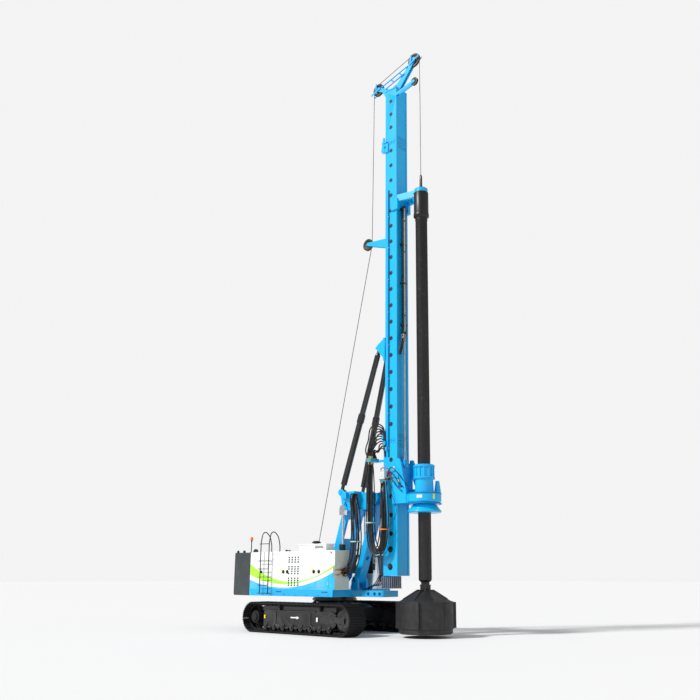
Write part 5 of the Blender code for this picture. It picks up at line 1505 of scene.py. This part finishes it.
# ------------------------------------------------------------------------------------ linkage and cylinders
@dataclass(frozen=True)
class Linkage:
    """Boom, strut, knuckle frame and the cylinders between them."""

    foot: Pair = (0.07, 1.86)
    head: Pair = (0.99, 4.56)
    strut_foot: Pair = (1.27, 1.86)
    strut_head: Pair = (2.19, 4.56)
    mast_pin: Pair = (2.50, 4.80)
    half: float = 0.50

    def pins(self) -> None:
        """Fit the knuckles' pin heads, keeper plates and grease fittings."""
        pins = Shape()
        for (x, z), reach in ((self.head, 0.535), (self.foot, 0.56), (self.strut_foot, 0.30),
                              (self.strut_head, 0.30)):
            for side in (-1, 1):
                pins.turned([(0.0, 0.0), (0.075, 0.0), (0.075, 0.018), (0.060, 0.030), (0.0, 0.030)],
                            (x, side * (reach - 0.02), z), (0, side, 0), 32)
                pins.block((x - 0.015, side * (reach - 0.02), z + 0.05),
                           (x + 0.015, side * (reach + 0.018), z + 0.13))
                pins.bolts([(x, side * (reach + 0.005), z + 0.11)], (0, side, 0), 0.014)
        # Pins, keeper plates and grease fittings in blue darkened as painted shade.
        pins.piece("linkage_pins", "boom", BLUE_PAINTED_SHADE, 0.003)

    def build(self) -> None:
        """Make the linkage."""
        for node in ("boom", "strut", "triangle_frame"):
            refined(node, BLUE, 0.010)
        self.pins()
        for side in Side:
            refined(side.word + "_luff_rod", CHROME, 0.002)
            refined(side.word + "_luff_barrel", BLACK, 0.006)
            refined(side.word + "_mast_rod", BLACK, 0.004)
            refined(side.word + "_mast_barrel", BLACK, 0.006)
        foot, eye = Vector((0.84, 0.565, 5.05)), Vector((2.46, 0.27, 10.45))
        for side in Side:
            mirror = Matrix.Diagonal((1.0, float(side.value), 1.0))
            low, high = mirror @ foot, mirror @ eye
            sleeve = Shape()
            sleeve.rod(tuple(low.lerp(high, 0.47)), tuple(low.lerp(high, 0.945)), 0.106, 40)
            sleeve.rod(tuple(low.lerp(high, 0.945)), tuple(low.lerp(high, 0.965)), 0.106, 40, 0.07)
            sleeve.piece(side.word + "_mast_tube", side.word + "_mast_rod", TUBE_BLACK, 0.002)
            band = Shape()
            for share in (0.515, 0.530):
                band.rod(tuple(low.lerp(high, share)), tuple(low.lerp(high, share + 0.008)), 0.128, 40)
            band.piece(side.word + "_mast_gland", "mast_barrels", DARK, 0.003)
        lines = []
        for side in (-1, 1):
            y = side * 0.61
            lines.append([(1.075, y, 1.98), (1.09, y, 2.4), (1.09, y, 2.95), (1.07, y, 3.05)])
        pipes("luff_cylinder_lines", "luff_barrels", lines, 0.014, BLACK)
        ties = Shape()
        for z in (2.2, 2.55, 2.9):
            for y in (-0.61, 0.61):
                ties.block((1.04, y - 0.03, z - 0.012), (1.11, y + 0.03, z + 0.012))
        ties.piece("luff_line_clamps", "luff_barrels", STEEL, 0.002)


# ------------------------------------------------------------------------------------ mast
HOLE_LOW = 3.46
HOLE_PITCH = 0.66


@dataclass(frozen=True)
class Mast:
    """Leader mast with its foot, pipes, head, sheaves and ropes."""

    front: float = 3.367
    rear: float = 2.807
    half: float = 0.3385
    foot: float = 2.01
    joint_low: float = 6.80
    joint_high: float = 19.00
    top: float = 21.46
    kelly_x: float = 4.36
    body: str = "mast"

    def holes(self) -> None:
        """Mark the row of round holes down both sides with dark discs as painted shade, each in a rim of blue
        darkened as painted shade.
        """
        dark, rims = Shape(), Shape()
        levels = [HOLE_LOW + HOLE_PITCH * index for index in range(24)] + [20.90, 20.30, 19.70]
        for z in levels:
            if min(abs(z - self.joint_low), abs(z - self.joint_high)) < 0.15:
                continue
            for side in (-1, 1):
                y = side * self.half
                dark.rod((3.10, y + side * 0.0002, z), (3.10, y + side * 0.0015, z), 0.075, 28)
                rims.turned([(0.075, -0.001), (0.088, -0.001), (0.086, 0.004), (0.075, 0.004)],
                            (3.10, y, z), (0, side, 0), 32)
        dark.piece("mast_holes", self.body, DARK, 0.0)
        rims.piece("mast_hole_rims", self.body, BLUE_PAINTED_SHADE, 0.0)

    def joints(self) -> None:
        """Bolt the mast's sections together."""
        shape = Shape()
        for z in (self.joint_low, self.joint_high):
            for side in (-1, 1):
                y = side * self.half
                for step in (-1, 1):
                    shape.bolts([(2.87 + 0.085 * index, y, z + step * 0.055) for index in range(6)],
                                (0, side, 0), 0.017, 0.010)
            shape.block((2.80, -0.3415, z - 0.009), (3.30, -0.337, z + 0.009))
            shape.block((2.80, 0.337, z - 0.009), (3.30, 0.3415, z + 0.009))
            for step in (-0.24, -0.17, -0.10, 0.10, 0.17, 0.24):
                shape.bolts([(self.front, -0.22 + 0.088 * index, z + step) for index in range(6)],
                            (1, 0, 0), 0.017, 0.012)
            shape.block((self.front - 0.003, -0.28, z - 0.012), (self.front + 0.004, 0.28, z + 0.012))
        # Joint bolts and strips in blue darkened as painted shade.
        shape.piece("mast_joint_bolts", self.body, BLUE_PAINTED_SHADE, 0.001)
        bracket = Shape()
        y = -self.half
        bracket.block((2.70, y - 0.05, 18.62), (2.98, y + 0.002, 19.02))
        bracket.plate([(2.62, 18.70), (2.80, 18.60), (2.80, 19.30), (2.72, 19.34)], y - 0.06, y - 0.02)
        bracket.block((2.66, y - 0.07, 19.05), (2.92, y - 0.01, 19.12))
        bracket.rod((2.80, y - 0.10, 18.90), (2.80, y + 0.002, 18.90), 0.05, 20)
        bracket.piece("mast_bracket", self.body, BLUE, 0.003)

    def foot_fittings(self) -> None:
        """Fit the foot's pins and cheek plates."""
        pins = Shape()
        for x, z in ((3.07, 2.92), (3.06, 2.32)):
            for side in (-1, 1):
                y = side * self.half
                pins.turned([(0.0, 0.0), (0.11, 0.0), (0.11, 0.012), (0.075, 0.016), (0.070, 0.040),
                             (0.0, 0.040)],
                            (x, y, z), (0, side, 0), 32)
                pins.ring_of_bolts((x, y + side * 0.010, z), (0, side, 0), 0.092, 6, 0.010)
        pins.piece("mast_foot_pins", self.body, DARK, 0.002)

    def pipe_row(self) -> None:
        """Hang the pipe manifold under the foot: a casing in blue darkened as painted shade, with bright pipes on
        its faces.
        """
        casing = Shape().block((2.62, -0.30, 1.60), (3.02, 0.30, 2.005))
        casing.piece("manifold_casing", self.body, BLUE_PAINTED_SHADE, 0.008)
        row = Shape()
        for index in range(5):
            row.rod((2.66 + 0.085 * index, -0.322, 1.62), (2.66 + 0.085 * index, -0.322, 1.98), 0.020, 18)
        for index in range(6):
            row.rod((3.042, -0.26 + 0.104 * index, 1.60), (3.042, -0.26 + 0.104 * index, 1.99), 0.020, 18)
        row.block((2.62, -0.335, 1.575), (3.06, 0.31, 1.60))
        row.piece("manifold_pipes", self.body, STEEL, 0.002)

    def pipes_and_clamps(self) -> None:
        """Run the mast's fixed pipes with their clamps and the clump of black hose loops."""
        side = -self.half - 0.028
        lines = [[(2.98 + 0.035 * index, side, 6.20), (2.98 + 0.035 * index, side, 12.5),
                  (2.98 + 0.035 * index, side, 16.90)]
                 for index in range(2)]
        lines.append([(2.46, -0.20, 2.15), (2.46, -0.20, 3.2), (2.46, -0.20, 4.0), (2.56, -0.20, 4.3)])
        lines.append([(2.53, -0.12, 2.15), (2.53, -0.12, 3.2), (2.53, -0.12, 4.0), (2.60, -0.12, 4.3)])
        # The pipes are blue darkened as painted shade.
        pipes("mast_pipes", self.body, lines, 0.013, BLUE_PAINTED_SHADE, smooth=False)
        clamps = Shape()
        z = 6.5
        while z < 16.8:
            clamps.block((2.96, side - 0.018, z - 0.018), (3.035, -self.half + 0.001, z + 0.018))
            z += 1.32
        clamps.piece("mast_pipe_clamps", self.body, STEEL, 0.002)
        clump = []
        for index in range(11):
            low, high = 6.20, 7.40 - 0.085 * index
            x, y = 2.26 + 0.035 * (index % 5), -0.68 + 0.036 * index
            bow = 0.16 * math.sin(1.7 * index)
            clump.append([(x, y, low), (x - 0.08 + 0.3 * bow, y - 0.03, low + 0.30),
                          (x + 0.06 + bow, y - 0.06, (low + high) / 2),
                          (x + 0.26, y - 0.02, high - 0.02), (2.72, -0.46 + 0.01 * index, high),
                          (2.84, side, high - 0.32)])
        pipes("mast_hose_clump", self.body, clump, 0.024, RUBBER)
        valves = Shape()
        for index in range(4):
            valves.block((2.62 + 0.09 * index, side - 0.07, 7.10 - 0.22 * index),
                         (2.70 + 0.09 * index, side + 0.02, 7.24 - 0.22 * index))
        valves.piece("mast_valves", self.body, BLUE, 0.004)
        bar = Shape()
        bar.block((2.225, -0.745, 6.1405), (2.455, -0.265, 6.19))
        for index, offset in enumerate(LOOP.offsets()):
            x, y = 2.34 + offset[1], -0.62 + offset[0]
            bar.rod((x, y, 6.18), (x, y, 6.26), 0.026, 6)
            bar.turned([(0.021, 0.0), (0.032, 0.0), (0.032, -0.10), (0.021, -0.10)], (x, y, 6.0595),
                       sides=18)
        bar.piece("clamp_bar_fittings", self.body, BRASS, 0.002)
        crowd = []
        for index, y in enumerate((-0.06, 0.0, 0.06)):
            crowd.append([(3.45, y - 0.24, 10.05), (3.50, y - 0.20, 10.35), (3.52, y - 0.14, 10.70),
                          (3.50, y * 0.5 - 0.09, 10.88)])
        pipes("crowd_hoses", self.body, crowd, 0.020, RUBBER)
        pipes("crowd_pipe", self.body, [[(3.555, -0.055, 10.95), (3.555, -0.055, 16.05)]], 0.026, CHROME,
              smooth=False)
        fittings = Shape()
        for z in (11.6, 12.9, 14.2, 15.5):
            fittings.block((3.47, -0.092, z - 0.025), (3.590, -0.064, z + 0.025))
        fittings.piece("crowd_pipe_clamps", self.body, DARK, 0.002)
        block = Shape()
        block.block((3.45, -0.16, 10.55), (3.58, -0.02, 10.86))
        block.rod((3.56, -0.16, 10.70), (3.56, -0.22, 10.70), 0.03, 16)
        block.piece("crowd_port_block", self.body, STEEL, 0.004)

    def ropes(self) -> None:
        """Run the hoist rope, taut from the drum over the pulleys to the swivel."""
        radius = 0.014
        pulley, rear, top = (1.77, -0.20, 14.94), (2.13, 0.0, 22.0), (4.075, 0.0, 22.57)
        drum = (-1.02, 0.0, 2.20)
        groove = 0.0
        main = [
            [(drum[0] + 0.10, -0.16, drum[2] + 0.30), (pulley[0] + 0.21, pulley[1], pulley[2] - 0.04)],
            [(pulley[0] + 0.21, pulley[1], pulley[2] + 0.04), (rear[0] - 0.255, groove, rear[2] - 0.02)],
        ]
        pipes("hoist_rope", self.body, main, radius, ROPE, smooth=False)
        arcs = []
        for (x, z, reach, start, end) in ((rear[0], rear[2], 0.255, 182.0, 106.0),
                                          (top[0], top[2], 0.275, 106.0, 0.0),
                                          (pulley[0], pulley[2], 0.213, -11.0, 11.0)):
            y = pulley[1] if z == pulley[2] else 0.0
            steps = max(3, int(abs(end - start) / 9))
            arcs.append([(x + reach * math.cos(math.radians(start + (end - start) * index / steps)), y,
                          z + reach * math.sin(math.radians(start + (end - start) * index / steps)))
                         for index in range(steps + 1)])
        angle = math.radians(106.0)
        arcs.append([(rear[0] + 0.255 * math.cos(angle), 0.0, rear[2] + 0.255 * math.sin(angle)),
                     (top[0] + 0.275 * math.cos(angle), 0.0, top[2] + 0.275 * math.sin(angle))])
        pipes("hoist_rope_over_head", self.body, arcs, radius, ROPE, smooth=False)
        run = [(top[0] + 0.278, 0.0, top[2]), (self.kelly_x, 0.0, 20.5), (self.kelly_x, 0.0, 17.20)]
        follow = Bend("kelly_guide", (self.kelly_x, 0.0, top[2]), (self.kelly_x, 0.0, 17.22))
        pipes("kelly_rope", self.body, [run], radius, ROPE, smooth=False, bend=follow)

    def head(self) -> None:
        """Fit the head's axle caps and sheave guards."""
        caps = Shape()
        for (x, z), reach in (((4.075, 22.57), 0.085), ((2.13, 22.0), 0.085)):
            for side in (-1, 1):
                caps.turned([(0.0, 0.0), (0.062, 0.0), (0.062, 0.014), (0.0, 0.020)], (x, side * reach, z),
                            (0, side, 0), 28)
        # Axle caps in blue darkened as painted shade.
        caps.piece("head_axle_caps", self.body, BLUE_PAINTED_SHADE, 0.002)
        guards = Shape()
        for side in (-0.105, 0.105):
            for foot, tip in (((2.38, 21.98), (3.80, 22.36)), ((2.62, 21.80), (3.62, 22.10))):
                guards.rod((foot[0], side, foot[1]), (tip[0], side, tip[1]), 0.026, 12)
            guards.plate([(3.92, 22.50), (4.00, 22.48), (4.02, 22.80), (3.97, 22.84)], side - 0.012,
                         side + 0.012)
            guards.plate([(3.90, 22.36), (4.38, 22.60), (4.40, 22.66), (3.92, 22.44)], side - 0.012,
                         side + 0.012)
            guards.plate([(2.02, 21.98), (2.10, 21.96), (2.10, 22.26), (2.05, 22.30)], side - 0.012,
                         side + 0.012)
            guards.plate([(1.80, 21.78), (2.30, 21.95), (2.30, 22.02), (1.80, 21.85)], side - 0.012,
                         side + 0.012)
        for x, z in ((2.90, 22.12), (3.35, 22.24)):
            guards.rod((x, -0.105, z), (x, 0.105, z), 0.022, 12)
        guards.piece("head_guards", self.body, BLUE, 0.002)
        lid = Shape().block((2.82, -0.325, 21.452), (3.35, 0.325, 21.464))
        lid.piece("mast_top_plate", self.body, DARK, 0.0)
        for node in ("top_sheave", "rear_sheave", "auxiliary_sheave", "guide_pulley"):
            refined(node, SHEAVE, 0.002)

    def build(self) -> None:
        """Make the whole mast."""
        for node in ("lower_mast", "middle_mast", "mast_head"):
            refined(node, BLUE, 0.010)
        refined("crowd_barrel", TUBE_BLACK, 0.004)
        refined("crowd_rod", CHROME, 0.0)
        self.holes()
        self.joints()
        self.foot_fittings()
        self.pipe_row()
        self.pipes_and_clamps()
        self.head()
        self.ropes()


# ------------------------------------------------------------------------------------ drive
@dataclass(frozen=True)
class Drive:
    """Rotary drive: its carriage, gearbox, motors and driven sleeve."""

    x: float = 4.36
    carriage: str = "drive_carriage"

    def gearbox(self) -> None:
        """Dress the gearbox with a bolt ring, two flange rings and tags, and the carriage with tags."""
        refined("drive_gearbox", BLUE, 0.010)
        refined("drive_carriage", BLUE, 0.008)
        top, reach = 4.84, 0.60
        shape = Shape()
        shape.ring_of_bolts((self.x, 0.0, top), (0, 0, 1), reach - 0.07, 32, 0.016)
        for low in (top - 0.40, top - 0.05):
            shape.turned([(reach - 0.02, low), (reach + 0.012, low), (reach + 0.012, low + 0.035),
                          (reach - 0.02, low + 0.035)],
                         (self.x, 0.0, 0.0), sides=96)
        # Bolt ring and flange rings in blue darkened as painted shade.
        shape.piece("gearbox_bolts", self.carriage, BLUE_PAINTED_SHADE, 0.002)
        tag = Shape()
        for degrees, high, wide, finish in ((-68.0, 0.05, 0.10, WHITE), (-18.0, 0.09, 0.035, YELLOW)):
            tag = Shape().block((self.x + reach - 0.004, -wide, 4.68 - high),
                                (self.x + reach + 0.0025, wide, 4.68 + high))
            tag.spun(math.radians(degrees), (self.x, 0.0), tag.bm.verts[:])
            tag.piece(f"gearbox_tag_{finish.name}", self.carriage, finish, 0.0)
        tags = Shape()
        for x, z in ((3.52, 5.30), (3.30, 5.78)):
            tags.block((x - 0.03, -0.4235, z - 0.05), (x + 0.03, -0.4205, z + 0.05))
        tags.piece("carriage_tags", self.carriage, YELLOW, 0.0)

    def tray(self) -> None:
        """Fit the junction box on its tray, with its red hose."""
        box = Shape()
        box.block((2.87, -0.71, 5.374), (3.09, -0.42, 5.665))
        box.block((2.86, -0.72, 5.655), (3.10, -0.41, 5.685))
        box.piece("junction_box", self.carriage, GREY, 0.010)
        lip = Shape().block((2.85, -0.745, 5.3605), (3.11, -0.40, 5.3735))
        lip.block((3.10, -0.74, 5.33), (3.115, -0.40, 5.40))
        lip.piece("tray_lining", self.carriage, BRASS, 0.002)
        tag = Shape().block((2.94, -0.7225, 5.48), (2.99, -0.7195, 5.53))
        tag.piece("junction_box_tag", self.carriage, YELLOW, 0.0)
        tray = Shape()
        for offset in LOOP.offsets():
            x, y = 2.97 + offset[1], -0.60 + offset[0]
            tray.turned([(0.021, 0.0), (0.030, 0.0), (0.030, -0.07), (0.021, -0.07)], (x, y, 5.2995),
                        sides=18)
        tray.piece("tray_fittings", self.carriage, BRASS, 0.001)
        hose = [[(2.90, -0.66, 5.70), (2.92, -0.68, 5.76), (3.00, -0.62, 5.79), (3.08, -0.54, 5.77),
                 (3.14, -0.46, 5.68),
                 (3.18, -0.445, 5.50), (3.24, -0.44, 5.30)]]
        pipes("red_hose", self.carriage, hose, 0.020, RED)
        black = [[(3.10, -0.55, 5.45), (3.25, -0.62, 5.62), (3.45, -0.60, 5.50), (3.62, -0.50, 5.20),
                  (3.78, -0.40, 5.02)],
                 [(3.08, -0.50, 5.50), (3.28, -0.56, 5.78), (3.52, -0.54, 5.62), (3.74, -0.42, 5.30),
                  (3.90, -0.30, 5.05)],
                 [(3.05, -0.45, 5.40), (3.22, -0.50, 5.40), (3.50, -0.50, 5.10), (3.72, -0.46, 4.90)]]
        pipes("drive_hoses", self.carriage, black, 0.018, RUBBER)
        thin = [[(3.20, -0.46, 5.10), (3.30, -0.52, 4.80), (3.46, -0.54, 4.50), (3.52, -0.55, 4.20),
                 (3.44, -0.57, 3.95),
                 (3.22, -0.60, 3.70), (3.08, -0.62, 3.58)]]
        pipes("thin_cable", self.carriage, thin, 0.012, RUBBER)

    def sleeve(self) -> None:
        """Dress the sleeve's collar with posts, a bolt ring and a lower skirt."""
        refined("drive_sleeve", BLUE, 0.008)
        shape = Shape()
        low, high = 5.33, 5.83
        for index in range(14):
            angle = 2 * math.pi * index / 14
            x, y = self.x + 0.352 * math.cos(angle), 0.352 * math.sin(angle)
            shape.rod((x, y, low + 0.02), (x, y, high - 0.03), 0.026, 14)
        for foot in (low, high - 0.09):
            shape.turned([(0.335, foot), (0.385, foot + 0.01), (0.385, foot + 0.07), (0.335, foot + 0.08)],
                         (self.x, 0.0, 0.0), sides=72)
        shape.ring_of_bolts((self.x, 0.0, high), (0, 0, 1), 0.32, 20, 0.016)
        shape.ring_of_bolts((self.x, 0.0, low), (0, 0, -1), 0.362, 20, 0.018)
        for index in range(8):
            before = set(shape.bm.verts)
            shape.plate([(self.x + 0.40, 4.42), (self.x + 0.58, 4.21), (self.x + 0.40, 4.21)], -0.012, 0.012)
            shape.spun(2 * math.pi * index / 8, (self.x, 0.0),
                       [vert for vert in shape.bm.verts if vert not in before])
        shape.piece("sleeve_posts", "drive_sleeve", BLUE, 0.002)

    def build(self) -> None:
        """Make the whole drive."""
        self.gearbox()
        self.tray()
        self.sleeve()


# ------------------------------------------------------------------------------------ kelly and bucket
@dataclass(frozen=True)
class Tool:
    """Kelly bar, its guide and swivel, and the drilling bucket."""

    x: float = 4.36
    radius: float = 0.228
    bucket: float = 0.95
    shell_low: float = 0.295
    shell_top: float = 1.17

    def kelly(self) -> None:
        """Dress the kelly bar with its drive keys and the swivel."""
        refined("kelly_bar", CHARCOAL, 0.004)
        refined("kelly_guide", BLUE, 0.008)
        refined("rope_swivel", BLACK, 0.003)
        keys = Shape()
        for index in range(3):
            angle = math.radians(20.0 + 120.0 * index)
            out = Vector((math.cos(angle), math.sin(angle), 0.0))
            start = Vector((self.x, 0.0, 0.0)) + out * (self.radius - 0.004)
            turn = Matrix.Rotation(angle, 4, "Z")
            for low, high in ((1.95, 4.10), (6.0, 15.30)):
                middle = start + Vector((0, 0, (low + high) / 2))
                made = bmesh.ops.create_cube(keys.bm, size=1.0)
                keys._placed(made["verts"], Matrix.Translation(middle) @ turn @ Matrix.Diagonal((0.018,
                                                                                                 0.045,
                                                                                                 high - low,
                                                                                                 1.0)))
        keys.turned([(0.228, 15.28), (0.240, 15.29), (0.240, 15.33), (0.228, 15.34)], (self.x, 0.0, 0.0),
                    sides=64)
        keys.piece("kelly_keys", "kelly", CHARCOAL, 0.002)

    def bucket_fittings(self) -> None:
        """Weld gussets, lugs, seams, rims and wear bars on the bucket."""
        refined("drilling_bucket", BUCKET, 0.006)
        refined("bucket_door", BUCKET, 0.005)
        shape = Shape()
        for index in range(8):
            angle = 2 * math.pi * (index + 0.25) / 8
            before = set(shape.bm.verts)
            shape.plate([(self.x + 0.17, 1.555), (self.x + 0.30, 1.555), (self.x + 0.80, 1.265),
                         (self.x + 0.80, 1.20), (self.x + 0.17, 1.42)],
                        -0.014, 0.014)
            shape.spun(angle, (self.x, 0.0), [vert for vert in shape.bm.verts if vert not in before])
        shape.turned([(0.940, 1.115), (0.958, 1.120), (0.958, 1.165), (0.940, 1.170)], (self.x, 0.0, 0.0),
                     sides=96)
        shape.turned([(0.940, 0.300), (0.958, 0.302), (0.958, 0.350), (0.940, 0.352)], (self.x, 0.0, 0.0),
                     sides=96)
        for degrees in (-10.0, 170.0):
            before = set(shape.bm.verts)
            shape.block((self.x + 0.945, -0.010, 0.35), (self.x + 0.957, 0.010, 1.12))
            shape.spun(math.radians(degrees), (self.x, 0.0),
                       [vert for vert in shape.bm.verts if vert not in before])
        for side in (-1, 1):
            shape.block((self.x - 0.10, side * 0.105 - 0.02, 1.50),
                        (self.x + 0.10, side * 0.105 + 0.02, 1.558))
        shape.rod((self.x - 0.04, -0.19, 1.53), (self.x - 0.04, 0.19, 1.53), 0.020, 20)
        for degrees in (-50.0, -20.0, 160.0):
            angle = math.radians(degrees)
            foot = (self.x + 0.30 * math.cos(angle), 0.30 * math.sin(angle))
            shape.rod((*foot, 1.30), (*foot, 1.68), 0.024, 18)
            shape.rod((*foot, 1.68), (*foot, 1.72), 0.034, 18)
        shape.piece("bucket_welds", "kelly", BUCKET, 0.002)

    def build(self) -> None:
        """Make the kelly and the bucket."""
        self.kelly()
        self.bucket_fittings()


def tie_hoses() -> None:
    """Bind the free bundles with bright ties."""
    for name, body, center, reach, finish in (
        ("hose_tie_low", "upperstructure", (1.832, -0.805, 3.20), 0.205, MINT_TIE),
        ("hose_tie_high", "mast", (2.385, -0.66, 3.85), 0.185, MINT_TIE),
        ("hose_tie_drive", "drive_carriage", (3.02, -0.64, 3.60), 0.180, ORANGE_TIE),
    ):
        tie = Shape().turned([(reach - 0.006, -0.022), (reach + 0.003, -0.022), (reach + 0.003, 0.022),
                              (reach - 0.006, 0.022)],
                             center, sides=40)
        tie.piece(name, body, finish, 0.0)


def write_size() -> None:
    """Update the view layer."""
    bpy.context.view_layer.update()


def main() -> None:
    """Build the finished machine, its floor, its light and its camera."""
    logging.basicConfig(level=logging.INFO)
    for side in Side:
        Crawler(side).build()
    build_carbody()
    Housing().build()
    Cab().build()
    Linkage().build()
    Mast().build()
    Drive().build()
    Tool().build()
    lay_cords()
    tie_hoses()
    Stand().build()
    write_size()


if __name__ == "__main__":
    main()
